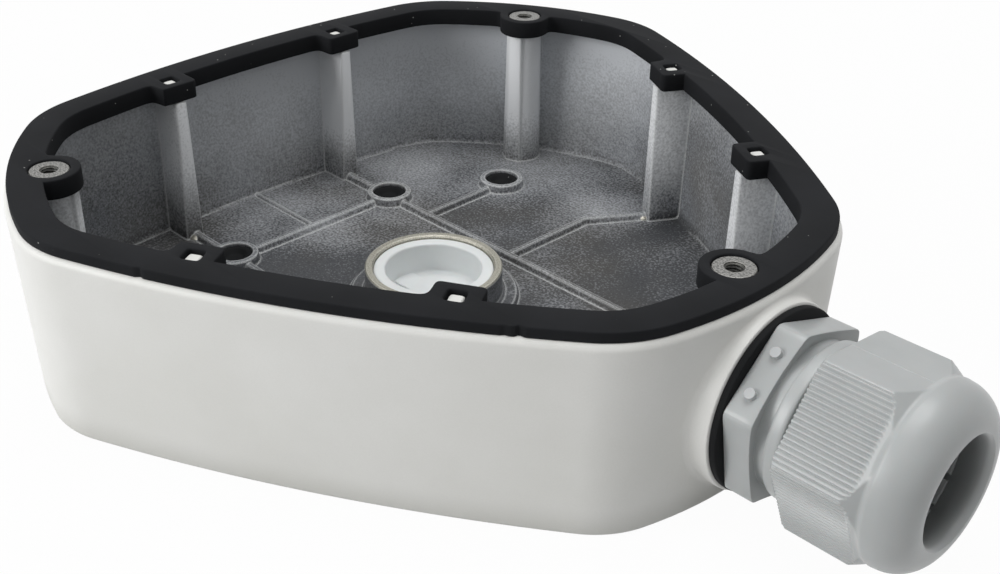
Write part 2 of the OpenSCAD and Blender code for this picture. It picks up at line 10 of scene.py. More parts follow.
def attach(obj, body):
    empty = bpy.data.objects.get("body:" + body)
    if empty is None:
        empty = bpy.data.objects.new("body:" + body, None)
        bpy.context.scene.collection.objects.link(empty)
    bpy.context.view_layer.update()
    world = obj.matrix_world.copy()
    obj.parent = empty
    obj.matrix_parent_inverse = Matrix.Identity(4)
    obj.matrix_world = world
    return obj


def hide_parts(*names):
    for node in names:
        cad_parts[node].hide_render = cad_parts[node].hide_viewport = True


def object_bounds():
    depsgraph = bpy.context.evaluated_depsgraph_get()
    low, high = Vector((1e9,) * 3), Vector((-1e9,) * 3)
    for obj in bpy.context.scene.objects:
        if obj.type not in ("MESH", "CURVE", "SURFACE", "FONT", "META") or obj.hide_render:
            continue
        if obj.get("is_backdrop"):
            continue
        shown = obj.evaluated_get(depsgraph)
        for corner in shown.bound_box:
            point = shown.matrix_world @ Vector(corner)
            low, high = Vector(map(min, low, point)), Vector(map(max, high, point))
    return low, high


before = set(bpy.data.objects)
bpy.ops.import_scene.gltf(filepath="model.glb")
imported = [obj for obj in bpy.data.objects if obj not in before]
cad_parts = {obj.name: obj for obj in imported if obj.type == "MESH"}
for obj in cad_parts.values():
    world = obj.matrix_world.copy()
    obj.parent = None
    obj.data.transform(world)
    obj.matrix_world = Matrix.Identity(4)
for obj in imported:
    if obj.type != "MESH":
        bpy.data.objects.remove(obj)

cad_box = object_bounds()
scene = bpy.context.scene
MM = 0.001

# Sizes of the real pieces, as in the part's source

CORNER, SIDE = 91.55, 76.3
# An outline: distance of its corners and its sides from the middle, radius of the long side
# arcs and of the arcs that blend them into the corners
RIM = (CORNER, SIDE, 311.7, 25.85)
BASE = (CORNER - 1.58, SIDE - 2.43, 418.7, 20.7)
CASTING_H, FLANGE_T, SKIRT = 42.6, 2.1, 2.3
RIM_ROUND, BASE_ROUND = 1.6, 0.9
WALL_TOP, WALL_FLOOR, FLOOR_T = 4.0, 3.0, 3.5
GASKET_TOP, GASKET_FOOT = CASTING_H + FLANGE_T, CASTING_H - SKIRT
SEAT_TOP = GASKET_FOOT - 0.1
POST_AT, POST_TOP, TIP_R, COLUMN_R = 82.0, GASKET_TOP - 0.3, 4.25, 4.6
TAP_R, TAP_DEPTH, COUNTERSINK = 1.65, 7.0, 0.35
PILASTER_OFF, PILASTER_IN = 25.4, SIDE - 14.5
PEG_AT, PEG_R, PEG_TOP = SIDE - 10.3, 1.45, GASKET_TOP - 0.7
FLANGE_IN, FLANGE_W, EAR_R, TAB_W = 0.95, 7.4, 6.6, 9.8
BOSS_X, BOSS_Y, BOSS_RING = 45.15, 25.0, 60.7
BOSS_R, BOSS_TOP, BOSS_BORE = 5.8, FLOOR_T + 2.3, 4.45
ENTRY_R, COLLAR_R, COLLAR_TOP, DISC_R = 14.15, 16.1, FLOOR_T + 7.7, 19.9
PLUG_R, PLUG_TOP, HOLLOW_R, PLUG_FLOOR = ENTRY_R - 0.08, COLLAR_TOP - 0.7, 11.3, 2.9
GLAND_Z, PAD_X, PAD_R, FLARE = 21.1, 93.4, 19.3, 1.1
WASHER_X, HEX_X = PAD_X, PAD_X + 1.5
NECK_X, NUT_X = HEX_X + 6.3, HEX_X + 11.7
NUT_T, DOME_T = 15.2, 9.8
NUT_END = NUT_X + NUT_T + DOME_T
CONE_X = NUT_END - 2.6
FINGER_TIP = CONE_X - 4.2
FINGER_ROOT = FINGER_TIP - 10
HEX_AF, HEX_TURN, NUT_AF, NUT_TURN = 33.0, 11.2, 34.9, 23.1
NUT_BORE, MOUTH_R, DOME_R, NUT_CORNER = 14.08, 10.5, 18.2, 19.9

# Outline of the casting: corner arc, blend arc and long side arc


def polar(r, a):
    """Point at a radius and an angle."""
    return Vector((r * math.cos(a), r * math.sin(a)))


def inset(o, d):
    """The outline moved inwards by d."""
    return tuple(v - d for v in o)


def between(o, p, t):
    """The outline at part t of the way from o to p."""
    return tuple(a + (b - a) * t for a, b in zip(o, p))


def arc_centres(o):
    """Centres of a blend arc and of the long side arc that it meets."""
    c = polar(o[1] - o[2], math.pi / 3)
    a, b, d = o[0] - o[3], o[2] - o[3], c.length
    x = (a * a - b * b + d * d) / (2 * d)
    u = c / d
    n = Vector((u.y, -u.x)) * math.sqrt(a * a - x * x)
    for f in (u * x + n, u * x - n):
        if 0 < math.atan2(f.y, f.x) < math.pi / 3:
            return f, c


def outline(o, steps=(8, 14, 18)):
    """Points of the three-cornered outline, counted anticlockwise from the gland's corner."""
    f, c = arc_centres(o)
    t1, v = math.atan2(f.y, f.x), f - c
    t2 = math.atan2(v.y, v.x)
    half = [polar(o[0], t1 * i / steps[0]) for i in range(steps[0])]
    half += [f + polar(o[3], t1 + (t2 - t1) * i / steps[1]) for i in range(steps[1])]
    half += [c + polar(o[2], t2 + (math.pi / 3 - t2) * i / steps[2]) for i in range(steps[2])]
    half.append(polar(o[1], math.pi / 3))
    turn = Matrix.Rotation(2 * math.pi / 3, 2)
    corner = [Vector((p.x, -p.y)) for p in half[-2:0:-1]] + half
    points = []
    for _ in range(3):
        points += corner
        corner = [turn @ p for p in corner]
    return points


def outer_at(z):
    """Outline of the casting's outer wall at a height."""
    t = (z - BASE_ROUND) / (CASTING_H - RIM_ROUND - BASE_ROUND)
    return between(BASE, RIM, min(max(t, 0), 1))


# Mesh helpers


def piece(name, verts, faces, marks=None, mats=(), sharp=32):
    """A mesh object in metres from points in millimetres, its faces turned outwards."""
    mesh = bpy.data.meshes.new(name)
    mesh.from_pydata([Vector(v) * MM for v in verts], [], faces)
    for m in mats:
        mesh.materials.append(m)
    if marks:
        mesh.polygons.foreach_set("material_index", marks)
    obj = bpy.data.objects.new(name, mesh)
    scene.collection.objects.link(obj)
    tidy(obj, sharp)
    return obj


def tidy(obj, sharp=32, merge=1e-6):
    """Merges doubles, turns faces outwards, and shades smooth up to an angle."""
    bm = bmesh.new()
    bm.from_mesh(obj.data)
    bmesh.ops.remove_doubles(bm, verts=bm.verts, dist=merge)
    bmesh.ops.recalc_face_normals(bm, faces=bm.faces)
    bm.to_mesh(obj.data)
    bm.free()
    obj.data.polygons.foreach_set("use_smooth", [True] * len(obj.data.polygons))
    obj.data.set_sharp_from_angle(angle=math.radians(sharp))
    obj.data.update()


def loft(rings, marks=0, closed=False):
    """Quads between rings of points; open ends are capped. marks: a material, or one for each band."""
    n = len(rings[0])
    verts = [p for ring in rings for p in ring]
    faces, ids = [], []
    count = len(rings)
    if isinstance(marks, int):
        marks = [marks] * count
    for j in range(count if closed else count - 1):
        a, b = j * n, (j + 1) % count * n
        for i in range(n):
            k = (i + 1) % n
            faces.append((a + i, a + k, b + k, b + i))
            ids.append(marks[j])
    if not closed:
        faces += [tuple(range(n))[::-1], tuple(range((count - 1) * n, count * n))]
        ids += [marks[0], marks[-1]]
    return verts, faces, ids


def level(o, z):
    """Points of the outline at a height."""
    return [(p.x, p.y, z) for p in outline(o)]


def on_gland(r, a, x):
    """Point at a radius and angle round the gland's axis."""
    return (x, r * math.sin(a), GLAND_Z - r * math.cos(a))


def lathe(profile, n=96, place=None, closed=True, marks=0):
    """Turns a profile of (radius, height); an open one has its poles or rims closed."""
    place = place or (lambda r, a, h: (r * math.cos(a), r * math.sin(a), h))
    rings = [[place(max(r, 1e-4), 2 * math.pi * i / n, h) for i in range(n)] for r, h in profile]
    return loft(rings, marks, closed)


def soften(points, radii, steps=4, closed=True):
    """Rounds the corners of a profile: radii gives each point's rounding, 0 for none."""
    out = []
    n = len(points)
    for i, (p, r) in enumerate(zip(points, radii)):
        if r == 0 or (not closed and i in (0, n - 1)):
            out.append(tuple(p))
            continue
        p, a, b = Vector(p), Vector(points[i - 1]), Vector(points[(i + 1) % n])
        a = p + (a - p) * min(r / (a - p).length, 0.49)
        b = p + (b - p) * min(r / (b - p).length, 0.49)
        for s in range(steps + 1):
            t = s / steps
            out.append(tuple(a * (1 - t) ** 2 + p * 2 * t * (1 - t) + b * t * t))
    return out


def combine(obj, tools, how):
    """Joins solids to obj or cuts them out of it, exactly, and removes them."""
    group = bpy.data.collections.new("tools")
    scene.collection.children.link(group)
    for t in tools:
        group.objects.link(t)
        scene.collection.objects.unlink(t)
    mod = obj.modifiers.new("solids", "BOOLEAN")
    mod.operation, mod.solver, mod.operand_type = how, "EXACT", "COLLECTION"
    mod.collection = group
    bake(obj)
    for t in tools:
        bpy.data.objects.remove(t)
    bpy.data.collections.remove(group)


def bake(obj):
    """Puts the result of an object's modifiers into its mesh."""
    view = bpy.context.evaluated_depsgraph_get()
    mesh = bpy.data.meshes.new_from_object(obj.evaluated_get(view))
    obj.modifiers.clear()
    obj.data = mesh


def hand_over(obj, node, body):
    """The finished piece stands for its CAD node and moves with its body."""
    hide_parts(*([node] if isinstance(node, str) else node))
    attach(obj, body)


def turned(points, k, about=0.0):
    """Points turned about Z by k thirds of a turn plus an angle in degrees."""
    m = Matrix.Rotation(math.radians(120 * k + about), 3, "Z")
    return [m @ Vector(p) for p in points]


# Materials


def tint(code):
    """sRGB hex to a linear colour."""
    parts = [int(code[i:i + 2], 16) / 255 for i in (1, 3, 5)]
    return [c / 12.92 if c <= 0.04045 else ((c + 0.055) / 1.055) ** 2.4 for c in parts] + [1.0]


def add(tree, kind, links=None, **settings):
    """Adds a node with its settings; links gives each input a socket or a value."""
    node = tree.nodes.new(kind)
    for name, value in settings.items():
        setattr(node, name, value)
    for key, value in (links or {}).items():
        if isinstance(value, bpy.types.NodeSocket):
            tree.links.new(value, node.inputs[key])
        else:
            node.inputs[key].default_value = value
    return node


def start(name):
    """A new material, its node tree with only an output, and its Object coordinates."""
    mat = bpy.data.materials.new(name)
    mat.use_nodes = True
    tree = mat.node_tree
    tree.nodes.clear()
    out = add(tree, "ShaderNodeOutputMaterial")
    place = add(tree, "ShaderNodeTexCoord").outputs["Object"]
    return mat, tree, out, place


def ramp(tree, value, limits=(0.0, 1.0), ends=(0.0, 1.0), how="LINEAR"):
    """Spreads a value so that its two limits become the two ends, and holds it between them."""
    links = {"Value": value, "From Min": limits[0], "From Max": limits[1],
             "To Min": ends[0], "To Max": ends[1]}
    return add(tree, "ShaderNodeMapRange", links, interpolation_type=how).outputs[0]


def relief(tree, grain, strength, depth_mm, normal):
    """A normal with bumps on top of it."""
    links = {"Height": grain, "Strength": strength, "Distance": depth_mm * MM, "Normal": normal}
    return add(tree, "ShaderNodeBump", links).outputs[0]


def speckle(tree, place, size_mm, low, high, detail=2.0):
    """Noise whose blobs are about size_mm across, spread from 0 at low to 1 at high."""
    noise = add(tree, "ShaderNodeTexNoise", {"Vector": place, "Scale": 1 / (size_mm * MM), "Detail": detail})
    return ramp(tree, noise.outputs[0], (low, high))


def calc(tree, how, a, b=0.0, clamp=False):
    """One math node."""
    return add(tree, "ShaderNodeMath", {0: a, 1: b}, operation=how, use_clamp=clamp).outputs[0]


def times(tree, a, b):
    """Product of two values."""
    return calc(tree, "MULTIPLY", a, b)


def blend(tree, fac, a, b):
    """Colour a where fac is 0, b where it is 1."""
    return add(tree, "ShaderNodeMix", {0: fac, 6: a, 7: b}, data_type="RGBA").outputs[2]


def height(tree, place, low_mm, high_mm):
    """0 below low_mm and 1 above high_mm."""
    z = add(tree, "ShaderNodeSeparateXYZ", {0: place}).outputs[2]
    return ramp(tree, z, (low_mm * MM, high_mm * MM), how="SMOOTHSTEP")


def edges(tree, radius_mm):
    """Softened normal, and a mask that is bright where the surface turns within that radius."""
    soft = add(tree, "ShaderNodeBevel", {"Radius": radius_mm * MM}, samples=4).outputs[0]
    flat = add(tree, "ShaderNodeNewGeometry").outputs["Normal"]
    dot = add(tree, "ShaderNodeVectorMath", {0: soft, 1: flat}, operation="DOT_PRODUCT").outputs["Value"]
    return soft, ramp(tree, dot, (0.995, 0.9))


def finish_with(tree, out, links):
    """Gives the material one shader with these inputs."""
    shader = add(tree, "ShaderNodeBsdfPrincipled", links)
    tree.links.new(shader.outputs[0], out.inputs[0])


def powder_coat():
    """Satin white polyester powder coat on the casting: a faint orange peel of 1.2 mm cells
    breaks its wide soft highlight, and handling leaves it slightly uneven and warm. Its lowest
    7 mm are darkened towards the base as painted shade."""
    mat, tree, out, place = start("powder_coat_white")
    soft = edges(tree, 0.5)[0]
    peel = speckle(tree, place, 1.2, 0.3, 0.7)
    grit = speckle(tree, place, 0.35, 0.3, 0.7)
    cloud = speckle(tree, place, 26, 0.35, 0.7, 3)
    # Painted shade: the coat is darkened towards the base of the casting.
    foot = height(tree, place, 7, 0.5)
    base = blend(tree, cloud, tint("#e4e4e1"), tint("#dededa"))
    base = blend(tree, times(tree, foot, 0.5), base, tint("#c4c4be"))
    fine = times(tree, grit, 0.06)
    base = blend(tree, fine, base, tint("#b9b9b3"))
    bump = relief(tree, peel, 0.12, 0.05, soft)
    rough = ramp(tree, cloud, ends=(0.4, 0.5))
    finish_with(tree, out, {"Base Color": base, "Roughness": rough, "Normal": bump, "IOR": 1.5,
                            "Specular IOR Level": 0.45})
    return mat


# Painted pools of light on the floor, in the overspray's white: x, y and radius
FLOOR_LIGHT_POOLS = [(-50, 64, 17), (-4, 60, 20), (-42, 0, 15), (-65, 20, 12)]


def raw_casting(name, dust_low, dust_high, whole, rear_painted_share, white):
    """Raw blasted die-cast aluminium inside the box: 0.45 mm light and dark grains on a
    cloudy, partly brownish grey that is darker on the floor as painted shade, with edges and
    creases lightened as a painted highlight. Whitish overspray thins out downwards in 0.6 mm
    droplets; the same white is laid on the rear walls and on patches of the floor as painted light."""
    mat, tree, out, place = start(name)
    soft, edge = edges(tree, 0.8)
    grain = speckle(tree, place, 0.45, 0.3, 0.7)
    droplets = speckle(tree, place, 0.6, 0.34, 0.66)
    cloud = speckle(tree, place, 24, 0.38, 0.66, 3)
    stain = speckle(tree, place, 33, 0.42, 0.62)
    walls = blend(tree, grain, tint("#5a5c5f"), tint("#8f9296"))
    walls = blend(tree, times(tree, stain, 0.45), walls, tint("#67645e"))
    # Painted shade: the floor's greys are darker than the walls' because the floor lies in the box's shade.
    floor = blend(tree, grain, tint("#37383b"), tint("#4d4f52"))
    floor = blend(tree, times(tree, stain, 0.5), floor, tint("#4a4741"))
    metal = blend(tree, height(tree, place, 3.6, 7), floor, walls)
    # Painted light: the overspray white is laid more thickly on the walls towards the rear, most near their
    # tops.
    across = add(tree, "ShaderNodeVectorMath", {0: place, 1: (-0.87, 0.5, 0.0)}, operation="DOT_PRODUCT")
    painted_light_mask = ramp(tree, across.outputs["Value"], (0.02, 0.075), (0.0, rear_painted_share), "SMOOTHSTEP")
    painted_light_mask = times(tree, painted_light_mask, calc(tree, "ADD", height(tree, place, 4, 24), 0.6))
    fall = times(tree, height(tree, place, dust_low, dust_high), whole)
    # Painted light: smooth pools that whiten the floor round the listed spots.
    for x, y, radius in FLOOR_LIGHT_POOLS:
        middle = (x * MM, y * MM, FLOOR_T * MM)
        away = add(tree, "ShaderNodeVectorMath", {0: place, 1: middle}, operation="DISTANCE")
        spot = ramp(tree, away.outputs["Value"], (radius * MM, radius * 0.3 * MM), (0.0, 0.34))
        painted_light_mask = calc(tree, "MAXIMUM", painted_light_mask, spot)
    fall = calc(tree, "ADD", calc(tree, "ADD", fall, painted_light_mask), times(tree, cloud, 0.25))
    fine = times(tree, calc(tree, "SUBTRACT", droplets, 0.75), 0.38)
    fall = calc(tree, "ADD", fall, fine, clamp=True)
    base = blend(tree, fall, metal, tint(white))
    # Painted highlight: edges and creases are lightened to near white.
    base = blend(tree, times(tree, edge, 0.7), base, tint("#eceeed"))
    shine = ramp(tree, fall, ends=(0.3, 0.05))
    bump = relief(tree, grain, 0.3, 0.06, soft)
    finish_with(tree, out, {"Base Color": base, "Metallic": shine, "Roughness": 0.6, "Normal": bump})
    return mat


def turned_aluminium(name, dark, light, pore, rim):
    """Machined faces: fine lathe rings 0.25 mm apart, a rim lightened as a painted highlight, and
    scattered dark pores of 0.4 mm that make the metal look coarse and dull."""
    mat, tree, out, place = start(name)
    soft, edge = edges(tree, 0.2)
    xyz = add(tree, "ShaderNodeSeparateXYZ", {0: place}).outputs
    square = calc(tree, "ADD", times(tree, xyz[0], xyz[0]), times(tree, xyz[1], xyz[1]))
    radius = calc(tree, "SQRT", square)
    turns = times(tree, radius, 1 / (0.25 * MM))
    rings = add(tree, "ShaderNodeTexNoise", {"W": turns, "Scale": 1.0}, noise_dimensions="1D").outputs[0]
    pores = speckle(tree, place, 0.4, 0.46, 0.6)
    base = blend(tree, rings, tint(dark), tint(light))
    base = blend(tree, times(tree, pores, pore), base, tint("#3a3a39"))
    # Painted highlight: the edges are blended towards the rim colour.
    base = blend(tree, times(tree, edge, 0.7), base, tint(rim))
    bump = relief(tree, rings, 0.2, 0.03, soft)
    finish_with(tree, out, {"Base Color": base, "Metallic": 0.75, "Roughness": 0.42, "Normal": bump})
    return mat


def moulded_rubber(name, colour, dusty, scuff_and_edge_highlight, rough):
    """Matt moulded rubber: a soft broad sheen, greyer where it is rubbed and at its edges as a
    painted highlight, with dust specks of about 0.4 mm far apart."""
    mat, tree, out, place = start(name)
    soft, edge = edges(tree, 0.3)
    cloud = speckle(tree, place, 14, 0.35, 0.7, 3)
    base = blend(tree, times(tree, cloud, 0.35), tint(colour), tint(scuff_and_edge_highlight))
    # Painted highlight: the edges are lightened towards the rubbed grey.
    base = blend(tree, times(tree, edge, 0.25), base, tint(scuff_and_edge_highlight))
    cells = add(tree, "ShaderNodeTexVoronoi", {"Vector": place, "Scale": 1 / (3.6 * MM)})
    speck = ramp(tree, cells.outputs["Distance"], (0.055, 0.035))
    base = blend(tree, times(tree, speck, dusty), base, tint("#a9a9a6"))
    grain = speckle(tree, place, 0.6, 0.3, 0.7)
    bump = relief(tree, grain, 0.15, 0.03, soft)
    finish_with(tree, out, {"Base Color": base, "Roughness": rough, "Normal": bump,
                            "Specular IOR Level": 0.12})
    return mat


def moulded_plastic(name, colour, shade, rough, painted_edge_light):
    """Moulded polyamide or polypropylene: even colour with weak flow marks 15 mm long and a
    0.5 mm eroded mould texture that spreads the highlight; edges are blended towards a light
    grey as a painted highlight, which is a touch darker than the white plastic."""
    mat, tree, out, place = start(name)
    soft, edge = edges(tree, 0.25)
    flow = speckle(tree, place, 15, 0.35, 0.68, 3)
    grain = speckle(tree, place, 0.5, 0.3, 0.7)
    base = blend(tree, flow, tint(colour), tint(shade))
    # Painted highlight: edges are blended towards a light grey.
    base = blend(tree, times(tree, edge, painted_edge_light), base, tint("#dcdede"))
    bump = relief(tree, grain, 0.12, 0.03, soft)
    uneven = ramp(tree, flow, ends=(rough - 0.05, rough + 0.06))
    finish_with(tree, out, {"Base Color": base, "Roughness": uneven, "Normal": bump, "IOR": 1.5,
                            "Subsurface Weight": 0.04, "Subsurface Scale": 0.8 * MM})
    return mat


# Places of the casting's materials in its list
COAT, RAW, CUT, STRIP, TIP, TAP = range(6)
casting_mats = [powder_coat(),
                raw_casting("blasted_die_cast", 20, 44, 0.5, 0.5, "#ced1d5"),
                # The collar's greys are lighter than the post tips' and its rim is near white: painted
                # highlight.
                turned_aluminium("turned_collar", "#8c8a80", "#c6c3b6", 0.3, "#f2efe4"),
                # Heavier overspray on the strips; its white is raised above the walls' as painted light.
                raw_casting("oversprayed_die_cast_painted_light", 3, 26, 0.85, 0.3, "#e4e6e8"),
                turned_aluminium("faced_post_tips", "#6d6d6c", "#a9a8a4", 0.75, "#c4c2bc"),
                # Painted shade: the threads are dark greys for the shade inside the tapped holes.
                turned_aluminium("tapped_threads_painted_shade", "#2f2f2f", "#5c5c5a", 0.5, "#77766f")]
gasket_mat = moulded_rubber("moulded_gasket_rubber", "#18191b", 0.8, "#242528", 0.8)
black_mat = moulded_rubber("moulded_seal_rubber", "#151617", 0.5, "#222325", 0.75)
white_mat = moulded_plastic("moulded_polypropylene_white", "#e4e7e7", "#dde0e0", 0.4, 0.5)
nylon_mat = moulded_plastic("moulded_polyamide_grey", "#acafaf", "#a5a8a8", 0.36, 0.3)
pin_mat = moulded_plastic("pin_polished_polyamide", "#b9bcbd", "#b4b7b8", 0.3, 0.2)

# Casting


def solid_outside():
    """Outer form of the casting, its edges rounded at the base and the rim."""
    rings = []
    for a in (90, 65, 45, 25, 0):
        a = math.radians(a)
        rings.append(level(inset(BASE, BASE_ROUND * (1 - math.cos(a))), BASE_ROUND * (1 - math.sin(a))))
    for i in range(1, 15):
        z = BASE_ROUND + (CASTING_H - RIM_ROUND - BASE_ROUND) * i / 14
        rings.append(level(outer_at(z), z))
    for a in (12, 25, 38, 51, 64, 77, 90):
        a = math.radians(a)
        z = CASTING_H - RIM_ROUND * (1 - math.sin(a))
        rings.append(level(inset(RIM, RIM_ROUND * (1 - math.cos(a))), z))
    return piece("box_casting_look", *loft(rings, COAT), mats=casting_mats)


def solid_inside():
    """Inside of the box with a small fillet where the wall meets the floor."""
    fillet, over = 1.1, 2.0
    low, high = inset(BASE, WALL_FLOOR), inset(RIM, WALL_TOP)
    rings, marks = [], []
    for a in (90, 60, 30, 0):
        a = math.radians(a)
        rings.append(level(inset(low, fillet * (1 - math.cos(a))), FLOOR_T + fillet * (1 - math.sin(a))))
        marks.append(RAW)
    for i in range(1, 7):
        t = i / 6
        rings.append(level(between(low, high, t), FLOOR_T + fillet + (CASTING_H - FLOOR_T - fillet) * t))
        marks.append(RAW)
    rings.append(level(high, CASTING_H + over))
    return piece("inside", *loft(rings, marks + [RAW]), mats=casting_mats)


def wall_x(y, z):
    """X of the outer wall of the gland's corner at a point across it."""
    line = outline(outer_at(z))
    best = 0
    for a, b in zip(line, line[1:] + line[:1]):
        if a.x > 40 and (a.y - y) * (b.y - y) <= 0 and a.y != b.y:
            best = max(best, a.x + (b.x - a.x) * (y - a.y) / (b.y - a.y))
    return best


def gland_pad():
    """Round pad for the gland; a concave fillet carries it into the curved wall."""
    n, rings = 120, []
    stations = [(PAD_R - 9, PAD_X), (PAD_R - 0.5, PAD_X), (PAD_R - 0.15, PAD_X - 0.15), (PAD_R, PAD_X - 0.5)]
    for r, x in stations:
        rings.append([on_gland(r, 2 * math.pi * i / n, x) for i in range(n)])
    fillet = [(math.radians(80 * step / 8), 0.0) for step in range(9)] + [(math.radians(90), 0.25)]
    for a, sink in fillet:
        r, rise = PAD_R + FLARE * (1 - math.cos(a)), FLARE * (1 - math.sin(a)) - sink
        ring = []
        for i in range(n):
            x, y, z = on_gland(r, 2 * math.pi * i / n, 0)
            z = min(max(z, BASE_ROUND * 0.6), CASTING_H - RIM_ROUND * 0.8)
            ring.append((min(wall_x(y, z) + rise, PAD_X - 0.5), y, z))
        rings.append(ring)
    rings.append([(POST_AT, p[1], p[2]) for p in rings[-1]])
    rings.append([(POST_AT, p[1] * 0.4, GLAND_Z + (p[2] - GLAND_Z) * 0.4) for p in rings[-1]])
    return piece("pad", *loft(rings, COAT), mats=casting_mats)


def bar(x1, x2, w_foot, w_top, foot, top, edge, place, mark):
    """Upright bar, its inner edges and its top rounded; place puts it into the box."""
    def ring(w, z, back=0.0):
        c = min(edge + back * 0.4, w * 0.45)
        h = w / 2 - back
        xa = x1 + back
        return [(x2, -h), (xa + c, -h), (xa + c * 0.3, -h + c * 0.3), (xa, -h + c),
                (xa, h - c), (xa + c * 0.3, h - c * 0.3), (xa + c, h), (x2, h)], z
    levels = [ring(w_foot, foot), ring(w_top + (w_foot - w_top) * 0.02, top - edge),
              ring(w_top, top - edge * 0.35, edge * 0.3), ring(w_top, top, edge)]
    rings = [[place((x, y, z)) for x, y in pts] for pts, z in levels]
    return piece("bar", *loft(rings, mark), mats=casting_mats)


def turner(k, about=0.0, x=0.0, y=0.0, spin=0.0):
    """Placer: spins about its own upright axis, moves out to x, y, then turns round the box."""
    m = (Matrix.Rotation(math.radians(120 * k + about), 4, "Z") @ Matrix.Translation((x, y, 0))
         @ Matrix.Rotation(math.radians(spin), 4, "Z"))
    return lambda p: m @ Vector(p)


def rod(profile, place, marks, n=48):
    """Turned solid from its foot to its top, put into the box by place."""
    spot = lambda r, a, h: place((r * math.cos(a), r * math.sin(a), h))
    verts, faces, ids = lathe(profile, n, spot, closed=False, marks=marks)
    return piece("rod", verts, faces, ids, mats=casting_mats)


def peg(place):
    """Peg that holds a tab of the gasket: a square with rounded corners."""
    rings = []
    for r, z in ((PEG_R, SEAT_TOP - 0.6), (PEG_R, PEG_TOP - 0.25), (PEG_R - 0.25, PEG_TOP)):
        rings.append([place((*(polar(r, a) / (math.cos(a) ** 6 + math.sin(a) ** 6) ** (1 / 6)), z))
                      for a in (2 * math.pi * i / 32 for i in range(32))])
    return piece("peg", *loft(rings, COAT), mats=casting_mats)


def pilasters():
    """Six tapered pilasters, each with its gasket peg and a nub at its foot."""
    nub = [(1.7, FLOOR_T - 0.5), (1.7, FLOOR_T + 0.3), (1.2, FLOOR_T + 0.8), (0.5, FLOOR_T + 1)]
    in_wall, foot = SIDE - WALL_TOP + 0.6, FLOOR_T - 0.6
    out = []
    for k in range(3):
        for s in (-1, 1):
            at = turner(k, 60, 0, s * PILASTER_OFF)
            out.append(bar(PILASTER_IN, in_wall, 5.1, 3.1, foot, SEAT_TOP, 0.5, at, STRIP))
            out.append(peg(turner(k, 60, PEG_AT, s * PILASTER_OFF)))
            out.append(rod(nub, turner(k, 60, PILASTER_IN - 0.4, s * PILASTER_OFF), CUT, 20))
    return out


def posts():
    """Three camera posts with machined tips, each with a rib inwards and a block to the wall."""
    out = []
    for k in range(3):
        foot = GLAND_Z if k == 0 else FLOOR_T - 0.6
        spread = 0.5 * (SEAT_TOP - foot) / (SEAT_TOP - FLOOR_T)
        at = turner(k, 0, POST_AT)
        out.append(rod([(COLUMN_R + spread, foot), (COLUMN_R, SEAT_TOP - 0.3), (COLUMN_R - 0.3, SEAT_TOP),
                        (TIP_R, SEAT_TOP + 0.05), (TIP_R, POST_TOP - 0.25), (TIP_R - 0.25, POST_TOP)], at,
                       [STRIP, STRIP, STRIP, TIP, TIP, TIP]))
        rib = turner(k, 0, POST_AT, 0, 180 - 14)
        mirror = lambda p, t=rib: t((5.2 - p[0], p[1], p[2]))
        out.append(bar(0, 5.2, 3.8 + 2 * spread, 3.8, foot, SEAT_TOP, 0.5, mirror, STRIP))
        out.append(bar(0, 9.55 - WALL_TOP + 0.6, 7.6, 7.6, foot, SEAT_TOP, 0.3, at, RAW))
    return out


def floor_rib(a, b, w=3.0, h=1.5):
    """Floor rib with sloped flanks and a rounded back."""
    a, b = Vector(a), Vector(b)
    u = (b - a).normalized()
    n = Vector((-u.y, u.x))
    shape = [(-w / 2, -0.6), (-w / 2, 0.0), (-w * 0.38, h * 0.35), (-w * 0.25, h * 0.86), (-w * 0.14, h),
             (w * 0.14, h), (w * 0.25, h * 0.86), (w * 0.38, h * 0.35), (w / 2, 0.0), (w / 2, -0.6)]
    rings = [[(*(p + n * y), FLOOR_T + z) for y, z in shape] for p in (a, b)]
    return piece("rib", *loft(rings, RAW), mats=casting_mats)


def boss_places():
    """Middles of the seven floor bosses."""
    spots = [(sx * BOSS_X, sy * BOSS_Y) for sx in (-1, 1) for sy in (-1, 1)]
    return spots + [tuple(polar(BOSS_RING, math.radians(120 * k))) for k in range(3)]


def floor_ribs():
    """Ribs that join the bosses, on both sides of the mirror plane."""
    rear = polar(BOSS_RING, math.radians(120))
    foot = turned([(PILASTER_IN, PILASTER_OFF, 0)], 0, 60)[0]
    out = []
    for s in (-1, 1):
        out += [floor_rib((-PILASTER_IN, s * BOSS_Y), (BOSS_X, s * BOSS_Y)),
                floor_rib((-30, s * BOSS_Y), (-30, s * rear.y)),
                floor_rib((0, s * BOSS_Y), (0, s * rear.y)),
                floor_rib((0, s * rear.y), (foot.x, s * foot.y))]
    out.append(floor_rib((-BOSS_X, -BOSS_Y), (-BOSS_X, BOSS_Y)))
    out.append(floor_rib((-SIDE + WALL_TOP, 0), (-BOSS_X, 0), 1.5, 0.75))
    return out


def bosses():
    """Round floor bosses, flared at the foot."""
    out = []
    for x, y in boss_places():
        profile = [(BOSS_R + 1.0, FLOOR_T - 0.5), (BOSS_R + 1.0, FLOOR_T), (BOSS_R + 0.4, FLOOR_T + 0.2),
                   (BOSS_R + 0.1, FLOOR_T + 0.7), (BOSS_R, BOSS_TOP - 0.35), (BOSS_R - 0.12, BOSS_TOP - 0.1),
                   (BOSS_R - 0.4, BOSS_TOP)]
        out.append(rod(profile, turner(0, 0, x, y), [RAW, RAW, RAW, RAW, STRIP, STRIP, STRIP]))
    return out


